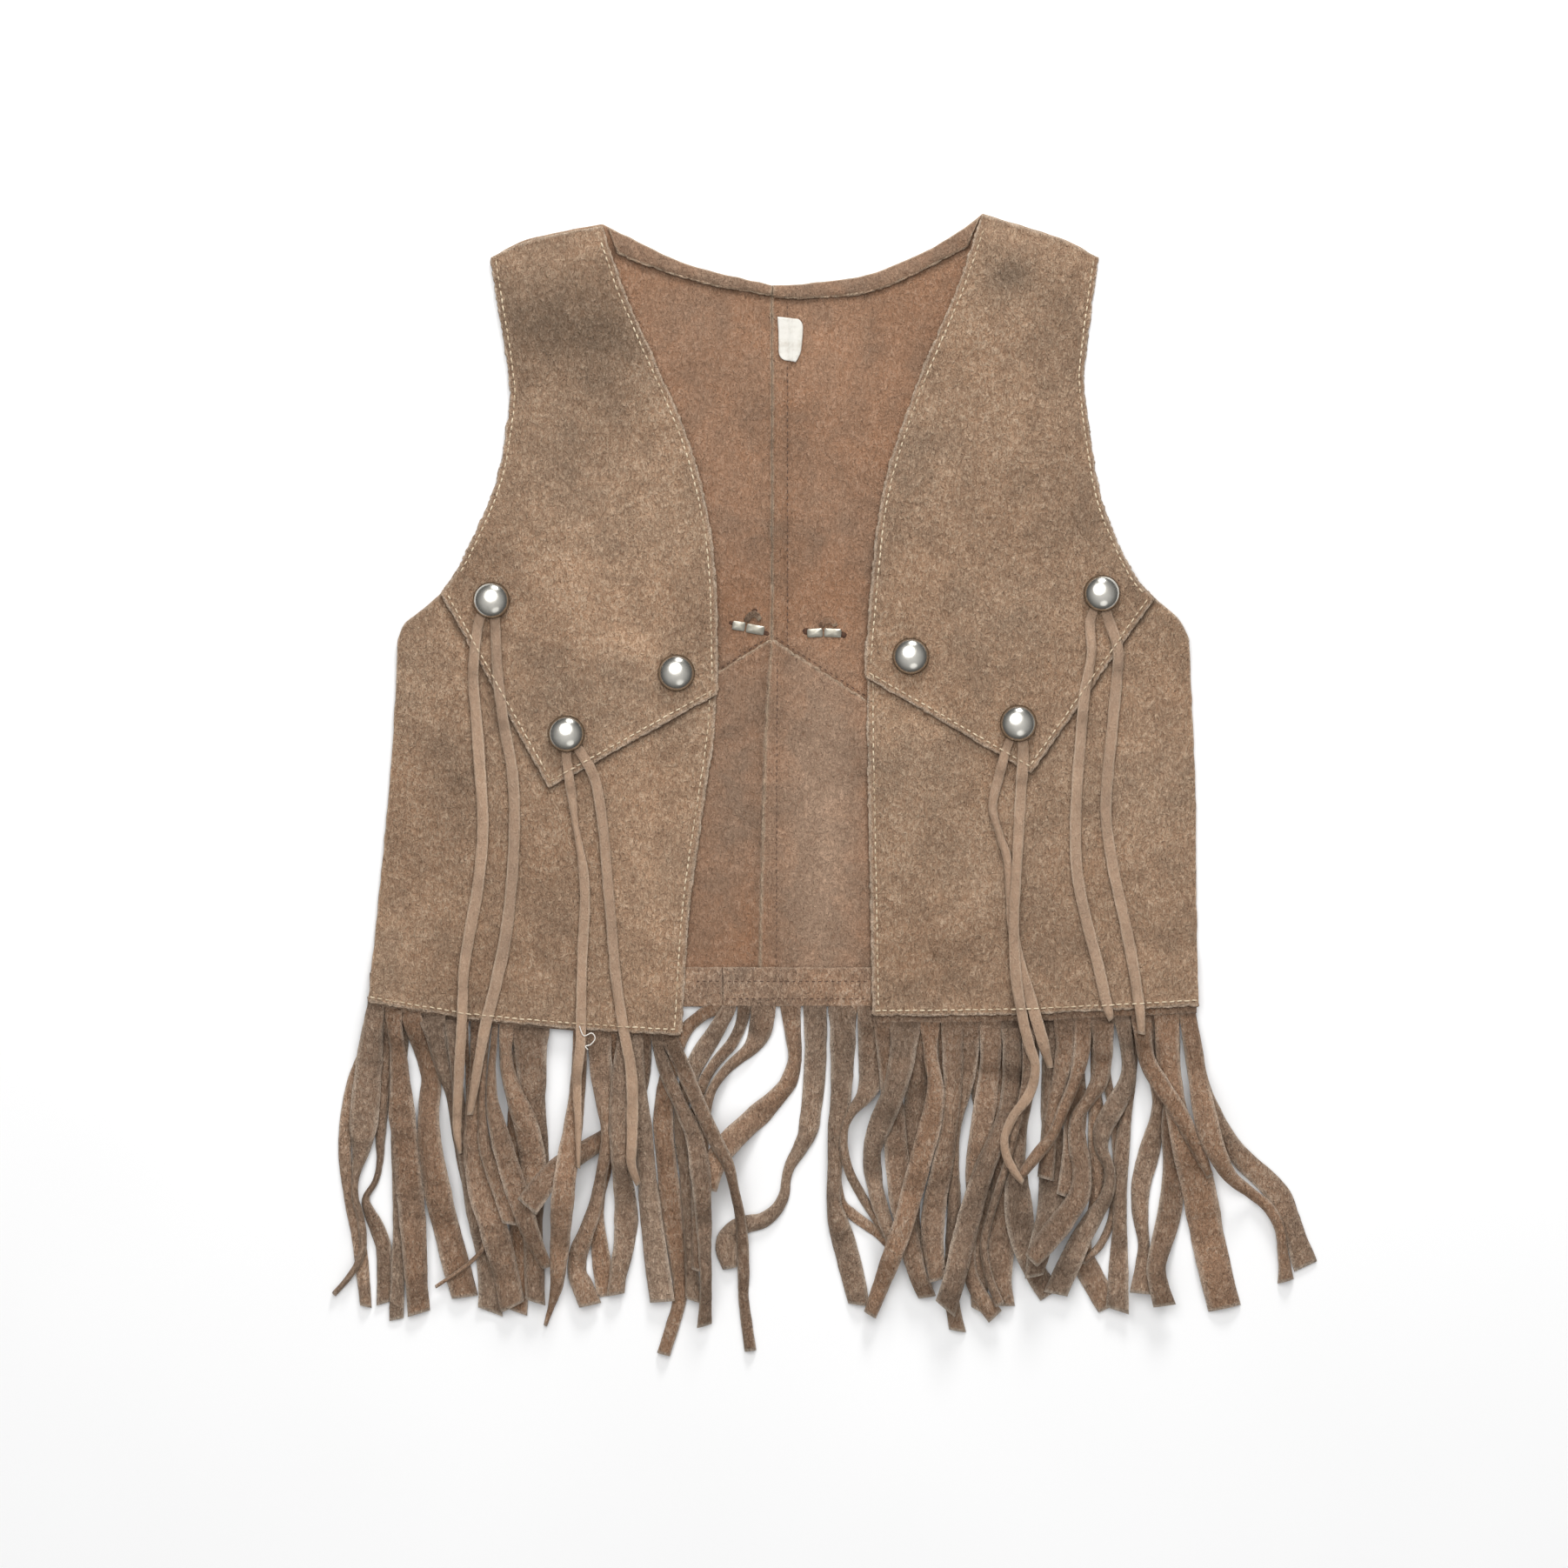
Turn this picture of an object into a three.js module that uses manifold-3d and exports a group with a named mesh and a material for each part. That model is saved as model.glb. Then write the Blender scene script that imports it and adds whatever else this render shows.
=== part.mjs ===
// Suede fringe vest, laid flat and open: two fronts on a back, with studs, lace thongs and fringe.
// Units are millimetres. Z is up and the vest rests on z = 0.
// Outlines and strands are read in the pixel frame of a square photograph taken from straight above.
import * as THREE from "three";
import Module from "manifold-3d";
import { mergeVertices } from "three/addons/utils/BufferGeometryUtils.js";

const wasm = await Module();
wasm.setup();

// Driving sizes
const PIT_TO_PIT = 440;
const SUEDE = 1.4;
const GAP = 0.3;
const PITCH = SUEDE + GAP;
const LAP = 12;
const EDGE_ROLL = 16;
const STAND_OFF = 0.3;
const STUD_RADIUS = 10.3;
const STUD_HEIGHT = 7;
const STUD_RIM = 0.9;
const PRONG_THICKNESS = 0.8;
const LABEL_THICKNESS = 0.6;
const SEAM_RAISE = 0.7;

// Photograph frame: pixels between the side seams' tops, and the pixel over the part's origin
const PIT_SPAN_PX = 909;
const ORIGIN_PX = { x: 948.25, y: 902.5 };
const MM_PER_PX = PIT_TO_PIT / PIT_SPAN_PX;

// Height of the underside of the n-th sheet in a stack that lies on the floor
const level = (n) => n * PITCH;

const toX = (px) => (px - ORIGIN_PX.x) * MM_PER_PX;
const toY = (px) => (ORIGIN_PX.y - px) * MM_PER_PX;
const toPoint = ([x, y]) => new THREE.Vector2(toX(x), toY(y));
const clamp01 = (value) => Math.min(1, Math.max(0, value));

// Colours of the materials
const SUEDE_FRONT = { color: 0xa5876e, roughness: 0.95, metalness: 0 };
const SUEDE_BACK = { color: 0xa0785f, roughness: 0.95, metalness: 0 };
const SUEDE_FRINGE = { color: 0x8c735f, roughness: 0.95, metalness: 0 };
const STEEL = { color: 0xb9b9b4, roughness: 0.25, metalness: 1 };
const PRONG_METAL = { color: 0x8f8f8a, roughness: 0.4, metalness: 1 };
const LABEL_CLOTH = { color: 0xe6e4de, roughness: 0.9, metalness: 0 };

// Outlines. Each row is photo x, photo y. Each edge is a list of sections that meet at corners.
const FRONT_LEFT = {
  shoulder: [[565, 296], [594, 282], [632, 271], [692, 261]],
  armhole: [[565, 296], [572, 340], [586, 430], [586, 475], [570, 560], [530, 650], [508, 682]],
  armholeLow: [[524, 657], [508, 682], [480, 706], [465, 718], [458, 735]],
  side: [[458, 735], [450, 880], [436, 1030], [424, 1151]],
  innerHigh: [[692, 261], [715, 330], [745, 400], [795, 520], [820, 640], [825, 797]],
  innerLow: [[825, 769], [820, 850], [800, 985], [791, 1060], [783, 1189]],
  point: [[508, 682], [632, 905], [825, 797]],
  lap: [[524, 657], [642, 871], [825, 769]],
  hem: [[424, 1151], [540, 1170], [655, 1181], [783, 1189]],
};
const FRONT_RIGHT = {
  shoulder: [[1262, 296], [1222, 276], [1130, 247]],
  armhole: [[1262, 296], [1248, 400], [1246, 450], [1262, 560], [1282, 620], [1305, 665], [1326, 688]],
  armholeLow: [[1309, 669], [1330, 690], [1355, 712], [1367, 735]],
  side: [[1367, 735], [1374, 900], [1375, 1000], [1377, 1155]],
  innerHigh: [[1130, 247], [1100, 335], [1050, 455], [1015, 570], [1000, 700], [994, 777]],
  innerLow: [[998, 750], [998, 850], [1000, 950], [1004, 1167]],
  point: [[1326, 688], [1185, 888], [994, 777]],
  lap: [[1309, 669], [1178, 855], [998, 750]],
  hem: [[1377, 1155], [1300, 1159], [1165, 1165], [1004, 1167]],
};
const BACK_LEFT = {
  shoulder: [[567, 296], [594, 280], [632, 269], [693, 258]],
  neck: [[693, 258], [731, 277], [780, 300], [826, 314], [887.5, 328]],
  armhole: [[567, 296], [574, 340], [588, 430], [588, 475], [572, 560], [532, 650], [499, 694]],
  armholeLow: [[520, 668], [499, 694], [482, 708], [467, 720], [460, 735]],
  side: [[460, 735], [452, 880], [438, 1030], [427, 1150]],
  yokeEdge: [[499, 694], [645, 913], [887.5, 766]],
  lowerEdge: [[520, 668], [652, 880], [887.5, 736]],
  centreHigh: [[887.5, 328], [887.5, 766]],
  centreLow: [[887.5, 736], [880, 850], [874, 1110], [874, 1150]],
  hem: [[427, 1150], [640, 1151], [874, 1150]],
};
const BACK_RIGHT = {
  shoulder: [[1260, 296], [1222, 275], [1130, 246]],
  neck: [[1130, 246], [1090, 275], [1040, 300], [994, 317], [918, 327], [888.5, 328]],
  armhole: [[1260, 296], [1246, 400], [1244, 450], [1260, 560], [1280, 620], [1303, 666], [1334, 695]],
  armholeLow: [[1315, 679], [1334, 695], [1353, 714], [1365, 735]],
  side: [[1365, 735], [1372, 900], [1373, 1000], [1375, 1150]],
  yokeEdge: [[1334, 695], [1130, 922], [888.5, 766]],
  lowerEdge: [[1315, 679], [1126, 890], [888.5, 736]],
  centreHigh: [[888.5, 328], [888.5, 766]],
  centreLow: [[888.5, 736], [881, 850], [875, 1110], [875, 1150]],
  hem: [[1375, 1150], [1100, 1151], [875, 1150]],
};
const NECK_HEM_LEFT = {
  top: [[699, 262], [731, 278], [780, 301], [826, 315], [887.5, 329]],
  bottom: [[709, 290], [739, 303], [780, 317], [826, 329], [887.5, 340]],
};
const NECK_HEM_RIGHT = {
  top: [[1126, 251], [1090, 276], [1040, 301], [994, 318], [918, 328], [888.5, 329]],
  bottom: [[1113, 283], [1084, 298], [1038, 321], [994, 337], [918, 343], [888.5, 341]],
};

// Fringe strips. The back one is in pixels, and the front ones are millimetres from a front's hem.
const BACK_STRIP = { top: 1112, bottom: 1157, left: 429, joint: 831, right: 1373 };
const FRONT_STRIP = { above: 16, belowLeft: 1.5, belowRight: 4.5, inset: 1 };

// Soft swells in the fronts. Columns: photo x, photo y, direction in degrees, half length,
// half width and height in millimetres.
const SWELLS = [
  { x: 628, y: 392, turn: 60, long: 26, wide: 12, high: 1.1 },
  { x: 700, y: 560, turn: 100, long: 60, wide: 26, high: 1.3 },
  { x: 600, y: 610, turn: 70, long: 40, wide: 22, high: 0.9 },
  { x: 560, y: 960, turn: 95, long: 70, wide: 24, high: 1.0 },
  { x: 720, y: 1000, turn: 100, long: 60, wide: 22, high: 1.2 },
  { x: 1170, y: 330, turn: 110, long: 30, wide: 16, high: 1.0 },
  { x: 1130, y: 560, turn: 80, long: 60, wide: 26, high: 1.3 },
  { x: 1215, y: 600, turn: 60, long: 36, wide: 18, high: 0.8 },
  { x: 1128, y: 1045, turn: 45, long: 46, wide: 14, high: 1.6 },
  { x: 1290, y: 930, turn: 95, long: 60, wide: 24, high: 1.0 },
];

// Strands. Each row is photo x, photo y, width in pixels, from the root to the tip.
// The strands of a list are laid one after the other, so a later one lies over an earlier one.
const BACK_STRANDS_LEFT = [
  [[436, 1157, 14], [424, 1200, 14], [407, 1245, 16], [399, 1290, 16], [397, 1330, 15], [403, 1375, 15],
    [412, 1420, 16], [417, 1460, 15], [421, 1502, 13]],
  [[450, 1157, 10], [446, 1200, 13], [442, 1250, 14], [438, 1300, 12], [437, 1335, 8], [432, 1358, 7],
    [421, 1377, 8], [425, 1393, 13], [435, 1414, 18], [442, 1440, 18], [443, 1498, 19]],
  [[466, 1157, 12], [461, 1230, 13], [457, 1300, 14], [458, 1365, 13], [459, 1415, 14], [458, 1460, 16],
    [456, 1517, 17]],
  [[602, 1157, 18], [599, 1215, 18], [594, 1270, 18], [592, 1330, 20], [597, 1400, 22], [597, 1450, 24],
    [594, 1508, 26]],
  [[823, 1157, 13], [806, 1168, 13], [785, 1190, 15], [768, 1240, 20], [763, 1290, 23], [767, 1340, 24],
    [773, 1395, 25], [779, 1445, 20], [782, 1490, 16], [773, 1525, 15], [763, 1557, 15]],
];
const BACK_STRANDS_RIGHT = [
  [[839, 1157, 13], [829, 1175, 16], [819, 1192, 19], [806, 1212, 21], [794, 1236, 20], [784, 1270, 16],
    [783, 1310, 14], [788, 1350, 13], [791, 1400, 13], [794, 1440, 14], [798, 1495, 19]],
  [[856, 1157, 12], [852, 1178, 12], [842, 1199, 13], [830, 1213, 12], [818, 1228, 12], [808, 1246, 12],
    [800, 1275, 12], [797, 1310, 12], [799, 1345, 12]],
  [[878, 1157, 22], [874, 1185, 23], [864, 1204, 17], [848, 1218, 13], [833, 1232, 11], [820, 1250, 10],
    [813, 1270, 12], [808, 1300, 16], [805, 1340, 18], [806, 1380, 20], [804, 1460, 18]],
  [[909, 1157, 19], [912, 1190, 16], [914, 1217, 15], [907, 1243, 19], [895, 1259, 21], [875, 1279, 26],
    [857, 1295, 27], [840, 1311, 28], [824, 1332, 26], [814, 1366, 22]],
  [[937, 1157, 22], [938, 1195, 24], [937, 1230, 24], [934, 1265, 25], [929, 1300, 22], [920, 1320, 18],
    [908, 1341, 13], [904, 1357, 11], [902, 1372, 12], [893, 1390, 14], [877, 1403, 18], [860, 1407, 20],
    [845, 1414, 22], [836, 1432, 27], [840, 1458, 18]],
  [[983, 1157, 4], [980, 1190, 6], [975, 1225, 10], [967, 1280, 10], [962, 1340, 10], [966, 1380, 12],
    [980, 1396, 13], [996, 1408, 13], [1010, 1418, 12], [1024, 1432, 11]],
  [[967, 1157, 24], [969, 1190, 27], [968, 1235, 25], [966, 1270, 24], [962, 1300, 20], [960, 1340, 17],
    [959, 1380, 17], [963, 1402, 22], [971, 1430, 27], [980, 1465, 27], [988, 1500, 25]],
  [[998, 1157, 20], [1000, 1190, 24], [1002, 1218, 29], [1001, 1243, 27], [992, 1262, 18], [979, 1277, 12],
    [971, 1296, 9], [970, 1320, 10], [976, 1345, 11], [986, 1366, 11], [1000, 1390, 10], [1019, 1419, 9]],
  [[1058, 1157, 22], [1057, 1210, 24], [1054, 1260, 26], [1048, 1310, 28], [1044, 1360, 26],
    [1045, 1402, 26], [1052, 1445, 22]],
  [[1086, 1157, 18], [1087, 1210, 20], [1090, 1260, 20], [1088, 1320, 20], [1080, 1370, 22],
    [1072, 1410, 24], [1070, 1455, 22]],
  [[1122, 1157, 14], [1123, 1230, 16], [1131, 1300, 18], [1132, 1360, 20], [1130, 1410, 24],
    [1127, 1465, 22], [1124, 1506, 15]],
  [[1148, 1157, 18], [1148, 1230, 18], [1146, 1300, 18], [1149, 1350, 18], [1151, 1395, 26],
    [1150, 1440, 30], [1150, 1475, 26], [1155, 1501, 22]],
  [[1186, 1157, 20], [1184, 1230, 18], [1174, 1290, 16], [1168, 1335, 22], [1170, 1385, 32],
    [1176, 1425, 30], [1190, 1462, 26], [1208, 1488, 28]],
  [[1212, 1157, 18], [1207, 1230, 18], [1209, 1290, 24], [1212, 1350, 34], [1206, 1400, 32],
    [1194, 1436, 26], [1188, 1466, 20]],
  [[1237, 1157, 18], [1237, 1225, 20], [1236, 1280, 26], [1231, 1335, 22], [1222, 1374, 18]],
  [[1259, 1157, 10], [1259, 1232, 10], [1261, 1300, 20], [1262, 1350, 18], [1256, 1395, 12],
    [1246, 1430, 18], [1250, 1458, 27], [1276, 1503, 28]],
  [[1275, 1157, 10], [1272, 1230, 10], [1282, 1290, 12], [1285, 1345, 11], [1281, 1385, 10],
    [1277, 1405, 9], [1264, 1432, 9], [1243, 1451, 8]],
  [[1297, 1157, 16], [1299, 1230, 16], [1294, 1280, 14], [1289, 1330, 17], [1287, 1380, 16],
    [1287, 1410, 16], [1286, 1450, 22], [1284, 1506, 26]],
  [[1320, 1157, 16], [1320, 1210, 16], [1330, 1250, 14], [1331, 1280, 15], [1321, 1325, 24],
    [1312, 1362, 22], [1311, 1395, 18], [1315, 1430, 13], [1313, 1458, 18], [1311, 1486, 26]],
  [[1345, 1157, 16], [1350, 1230, 14], [1343, 1290, 17], [1346, 1335, 18], [1347, 1375, 27],
    [1342, 1405, 27], [1334, 1432, 24], [1328, 1455, 22], [1331, 1477, 24], [1338, 1500, 26]],
  [[1366, 1157, 12], [1374, 1205, 14], [1382, 1250, 18], [1396, 1285, 22], [1412, 1312, 22],
    [1432, 1336, 24], [1456, 1358, 26], [1472, 1377, 27], [1481, 1398, 24], [1489, 1420, 24],
    [1501, 1456, 29]],
];
const FRONT_STRANDS_LEFT = [
  [[433, 1157, 16], [428, 1195, 24], [423, 1245, 32], [419, 1290, 32], [416, 1320, 22], [410, 1350, 9],
    [409, 1375, 8], [415, 1400, 9], [418, 1430, 9], [412, 1452, 8], [400, 1470, 7], [384, 1488, 6]],
  [[453, 1160, 16], [456, 1190, 15], [459, 1215, 18], [461, 1245, 24], [463, 1280, 31], [466, 1305, 31],
    [469, 1340, 32], [474, 1390, 32], [477, 1427, 29], [479, 1465, 26], [482, 1510, 25]],
  [[473, 1163, 18], [480, 1185, 20], [489, 1208, 23], [496, 1240, 23], [494, 1272, 24], [495, 1310, 27],
    [501, 1350, 30], [509, 1392, 31], [520, 1437, 31], [535, 1491, 30]],
  [[498, 1166, 24], [504, 1195, 22], [510, 1225, 18], [520, 1258, 14], [525, 1290, 14], [531, 1325, 14],
    [538, 1360, 14], [547, 1400, 12]],
  [[522, 1170, 16], [526, 1230, 13], [531, 1290, 16], [539, 1340, 19], [548, 1390, 23], [557, 1425, 26],
    [563, 1460, 27], [564, 1508, 27]],
  [[536, 1172, 6], [538, 1230, 5], [541, 1290, 6], [547, 1350, 8], [556, 1400, 8], [557, 1432, 6],
    [535, 1456, 5], [501, 1479, 4]],
  [[549, 1175, 12], [546, 1230, 12], [545, 1280, 18], [548, 1325, 28], [556, 1365, 32], [566, 1400, 32],
    [577, 1440, 31], [590, 1502, 29]],
  [[561, 1177, 7], [557, 1230, 8], [556, 1270, 9], [559, 1312, 15], [570, 1347, 19], [584, 1385, 20],
    [589, 1405, 18]],
  [[610, 1181, 34], [612, 1235, 32], [614, 1280, 28], [619, 1320, 24], [619, 1360, 22], [613, 1400, 22],
    [614, 1440, 24], [616, 1496, 23]],
  [[583, 1180, 13], [583, 1220, 14], [592, 1255, 20], [605, 1290, 28], [613, 1330, 30], [613, 1352, 28],
    [613, 1375, 24]],
  [[570, 1178, 6], [567, 1230, 9], [568, 1265, 14], [576, 1300, 21], [589, 1345, 26], [602, 1385, 24],
    [616, 1425, 19], [630, 1456, 12]],
  [[744, 1190, 8], [738, 1235, 18], [725, 1275, 20], [703, 1303, 21], [680, 1318, 22], [655, 1333, 25],
    [632, 1352, 27], [608, 1384, 28]],
  [[732, 1190, 12], [733, 1240, 18], [739, 1290, 20], [744, 1350, 22], [749, 1400, 25], [754, 1440, 27],
    [762, 1496, 28]],
  [[706, 1190, 7], [706, 1240, 12], [704, 1300, 12], [698, 1345, 10], [691, 1375, 10], [688, 1405, 14],
    [690, 1435, 20], [694, 1465, 22], [698, 1490, 24]],
  [[689, 1188, 22], [692, 1230, 24], [697, 1270, 20], [700, 1305, 16], [693, 1345, 14], [685, 1385, 16],
    [675, 1415, 19], [665, 1442, 21], [664, 1464, 22], [670, 1478, 25], [679, 1500, 26]],
  [[668, 1186, 14], [666, 1230, 16], [662, 1275, 19], [657, 1315, 24], [651, 1355, 26], [647, 1400, 25],
    [644, 1440, 21], [641, 1475, 16], [634, 1502, 8], [627, 1524, 4]],
  [[718, 1190, 12], [714, 1240, 20], [712, 1290, 22], [714, 1335, 20], [719, 1375, 25], [720, 1405, 27],
    [717, 1435, 24], [711, 1465, 20], [708, 1488, 20]],
  [[755, 1192, 10], [766, 1232, 15], [782, 1268, 16], [798, 1303, 20], [806, 1345, 23], [809, 1390, 19],
    [811, 1440, 15], [812, 1480, 14], [810, 1524, 16]],
  [[770, 1192, 15], [787, 1230, 17], [804, 1268, 17], [821, 1305, 17], [837, 1335, 14], [844, 1362, 11],
    [851, 1397, 12], [854, 1430, 14], [855, 1465, 13], [855, 1492, 12], [859, 1525, 13], [863, 1553, 13]],
];
const FRONT_STRANDS_RIGHT = [
  [[1016, 1178, 18], [1021, 1220, 22], [1027, 1280, 26], [1031, 1330, 28], [1037, 1380, 28],
    [1044, 1420, 24], [1053, 1458, 22], [1066, 1491, 20]],
  [[1041, 1178, 28], [1036, 1220, 28], [1027, 1255, 27], [1013, 1290, 26], [1003, 1320, 22],
    [1004, 1350, 20], [1010, 1380, 18], [1020, 1410, 16], [1027, 1431, 12]],
  [[1116, 1176, 20], [1113, 1220, 20], [1107, 1255, 18], [1098, 1295, 13], [1096, 1335, 13],
    [1097, 1380, 15], [1095, 1430, 16], [1093, 1475, 16], [1096, 1505, 17], [1101, 1530, 18]],
  [[1094, 1177, 20], [1095, 1240, 22], [1091, 1290, 20], [1083, 1340, 24], [1075, 1380, 26],
    [1072, 1420, 26], [1077, 1470, 18]],
  [[1069, 1178, 18], [1070, 1215, 15], [1075, 1250, 18], [1070, 1287, 24], [1060, 1325, 26],
    [1050, 1363, 25], [1040, 1400, 24], [1026, 1440, 23], [1013, 1477, 19], [1000, 1511, 16]],
  [[1139, 1176, 21], [1138, 1222, 23], [1133, 1262, 25], [1127, 1300, 25], [1121, 1340, 22],
    [1119, 1390, 18], [1113, 1435, 16], [1116, 1465, 16], [1126, 1488, 19], [1144, 1513, 20]],
  [[1162, 1176, 19], [1163, 1225, 21], [1159, 1270, 21], [1145, 1308, 20], [1130, 1345, 24],
    [1117, 1388, 27], [1106, 1428, 26], [1097, 1465, 25], [1086, 1503, 27]],
  [[1181, 1175, 13], [1180, 1240, 12], [1168, 1290, 10], [1157, 1335, 9], [1146, 1370, 9],
    [1136, 1405, 9], [1131, 1435, 9], [1137, 1468, 10], [1149, 1499, 12]],
  [[1224, 1174, 20], [1224, 1208, 20], [1217, 1245, 17], [1209, 1280, 16], [1205, 1320, 17],
    [1202, 1355, 20]],
  [[1245, 1172, 16], [1243, 1208, 17], [1235, 1242, 14], [1221, 1275, 13], [1210, 1302, 13],
    [1195, 1322, 14], [1180, 1340, 12], [1171, 1353, 9]],
  [[1267, 1171, 20], [1267, 1205, 22], [1264, 1240, 20], [1251, 1264, 15], [1238, 1284, 16],
    [1238, 1312, 22], [1243, 1345, 22], [1239, 1374, 25], [1220, 1402, 27], [1201, 1426, 27],
    [1184, 1447, 20]],
  [[1289, 1170, 15], [1296, 1212, 14], [1296, 1240, 18], [1283, 1268, 23], [1268, 1296, 22],
    [1266, 1320, 16], [1275, 1345, 13], [1272, 1373, 15], [1256, 1400, 20], [1240, 1428, 24],
    [1227, 1456, 26], [1213, 1487, 27]],
  [[1341, 1169, 24], [1342, 1215, 26], [1347, 1253, 24], [1354, 1288, 27], [1364, 1322, 33],
    [1375, 1355, 39], [1382, 1390, 39], [1390, 1430, 38], [1399, 1470, 37], [1408, 1504, 37]],
  [[1311, 1169, 18], [1317, 1215, 18], [1331, 1243, 20], [1347, 1267, 20], [1361, 1292, 19],
    [1376, 1322, 15], [1390, 1352, 9]],
  [[1365, 1168, 15], [1371, 1205, 20], [1377, 1245, 22], [1384, 1285, 26], [1394, 1318, 24],
    [1412, 1350, 17], [1436, 1370, 13], [1457, 1387, 13], [1470, 1410, 12], [1474, 1435, 12],
    [1477, 1458, 15], [1478, 1473, 19]],
];

// Lace thongs, in pairs that share a root under a stud. Rows as for the strands.
const THONG_PAIRS = [
  {
    name: "thongs_left_outer",
    strands: [
      [[566, 694, 8], [552, 714, 11], [545, 774, 12], [549, 832, 13], [553, 890, 13], [556, 952, 13],
        [551, 1015, 13], [540, 1077, 13], [534, 1118, 12], [533, 1168, 12], [531, 1210, 12], [528, 1260, 11],
        [527, 1300, 10], [531, 1325, 4]],
      [[568, 694, 8], [570, 714, 11], [573, 774, 12], [580, 832, 13], [590, 890, 13], [592, 952, 13],
        [589, 1015, 13], [582, 1077, 14], [571, 1131, 14], [559, 1180, 13], [549, 1238, 11], [542, 1280, 7]],
    ],
  },
  {
    name: "thongs_left_lower",
    strands: [
      [[652, 847, 8], [652, 870, 11], [658, 915, 11], [663, 952, 7], [671, 998, 11], [673, 1040, 12],
        [670, 1098, 12], [669, 1147, 12], [668, 1201, 12], [664, 1240, 11], [666, 1290, 8], [667, 1340, 4]],
      [[655, 847, 8], [670, 868, 11], [685, 898, 12], [694, 952, 12], [698, 998, 12], [703, 1056, 12],
        [708, 1118, 12], [717, 1180, 12], [727, 1234, 13], [728, 1300, 13], [727, 1335, 11], [735, 1360, 7]],
    ],
  },
  {
    name: "thongs_right_lower",
    strands: [
      [[1168, 837, 8], [1157, 860, 10], [1149, 890, 11], [1141, 927, 10], [1149, 961, 9], [1158, 990, 10],
        [1163, 1060, 11], [1170, 1098, 12], [1186, 1155, 14], [1198, 1197, 13], [1207, 1227, 7]],
      [[1171, 837, 8], [1176, 860, 12], [1174, 898, 13], [1171, 952, 12], [1167, 1015, 12], [1165, 1056, 12],
        [1167, 1118, 13], [1174, 1165, 12], [1182, 1200, 12], [1189, 1225, 11], [1183, 1255, 12],
        [1165, 1280, 11], [1154, 1305, 10], [1156, 1327, 10], [1166, 1346, 9], [1175, 1357, 6]],
    ],
  },
  {
    name: "thongs_right_outer",
    strands: [
      [[1264, 688, 8], [1253, 714, 11], [1254, 753, 11], [1246, 799, 12], [1242, 849, 13], [1238, 898, 13],
        [1236, 952, 13], [1238, 1006, 13], [1248, 1056, 13], [1261, 1106, 13], [1271, 1151, 12],
        [1277, 1172, 7]],
      [[1267, 688, 8], [1273, 710, 11], [1284, 745, 12], [1284, 774, 12], [1279, 828, 13], [1273, 890, 13],
        [1271, 940, 13], [1279, 998, 13], [1290, 1048, 13], [1300, 1098, 13], [1308, 1151, 12],
        [1311, 1188, 8]],
    ],
  },
];

// Stud centres. Columns: node name, photo x, photo y.
const STUDS = [
  { name: "stud_left_outer", x: 566, y: 691 },
  { name: "stud_left_inner", x: 778, y: 774 },
  { name: "stud_left_lower", x: 652, y: 844 },
  { name: "stud_right_inner", x: 1047, y: 755 },
  { name: "stud_right_lower", x: 1170, y: 832 },
  { name: "stud_right_outer", x: 1266, y: 683 },
];

// Prong halves on the inside of the back. Columns: node name, centre, length and width in pixels, tilt.
const PRONGS = [
  { name: "prong_left_a", x: 849.5, y: 720, long: 14, wide: 8.5, tilt: -8 },
  { name: "prong_left_b", x: 868.5, y: 724, long: 20, wide: 8.5, tilt: -10 },
  { name: "prong_right_a", x: 937, y: 728, long: 18, wide: 10, tilt: 3 },
  { name: "prong_right_b", x: 957.5, y: 728, long: 20, wide: 10, tilt: -3 },
];
const PRONG_CORNER = 0.35;
const LOOPS = [
  { name: "loop_left", path: [[858, 715, 5], [862, 708, 6], [869, 706, 6], [874, 713, 5]] },
  { name: "loop_right", path: [[944, 720, 5], [948, 715, 6], [956, 714, 6], [961, 720, 5]] },
];
const LABEL_OUTLINE = [[894, 366], [918, 367], [923, 376], [921, 404], [915, 417], [902, 415], [896, 406]];

// A height map of what has been laid so far, in square cells
const CELL = 0.5;
const SAMPLE_STEP = 0.4;
const MAP_HALF = { x: 300, y: 335 };
const MAP_COLUMNS = Math.ceil((2 * MAP_HALF.x) / CELL);
const MAP_ROWS = Math.ceil((2 * MAP_HALF.y) / CELL);
const pile = new Float32Array(MAP_COLUMNS * MAP_ROWS);

function cellAt(x, y) {
  const column = Math.floor((x + MAP_HALF.x) / CELL);
  const row = Math.floor((y + MAP_HALF.y) / CELL);
  return row * MAP_COLUMNS + column;
}

function raisePile(x, y, height) {
  const cell = cellAt(x, y);
  pile[cell] = Math.max(pile[cell], height);
}

// Lays the upward faces of a geometry on the height map
function layGeometry(geometry) {
  const flat = geometry.index ? geometry.toNonIndexed() : geometry;
  const position = flat.attributes.position;
  const [a, b, c] = [new THREE.Vector3(), new THREE.Vector3(), new THREE.Vector3()];
  const point = new THREE.Vector3();
  for (let i = 0; i < position.count; i += 3) {
    a.fromBufferAttribute(position, i);
    b.fromBufferAttribute(position, i + 1);
    c.fromBufferAttribute(position, i + 2);
    const longest = Math.max(a.distanceTo(b), b.distanceTo(c), c.distanceTo(a));
    const steps = Math.ceil(longest / SAMPLE_STEP);
    for (let j = 0; j <= steps; j++) {
      for (let k = 0; k <= steps - j; k++) {
        point.copy(a).multiplyScalar(1 - (j + k) / steps);
        point.addScaledVector(b, j / steps).addScaledVector(c, k / steps);
        raisePile(point.x, point.y, point.z);
      }
    }
  }
}

// Height at which a round or sampled footprint rests
function seatHeight(points) {
  return Math.max(...points.map(({ x, y }) => pile[cellAt(x, y)])) + GAP;
}

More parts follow.
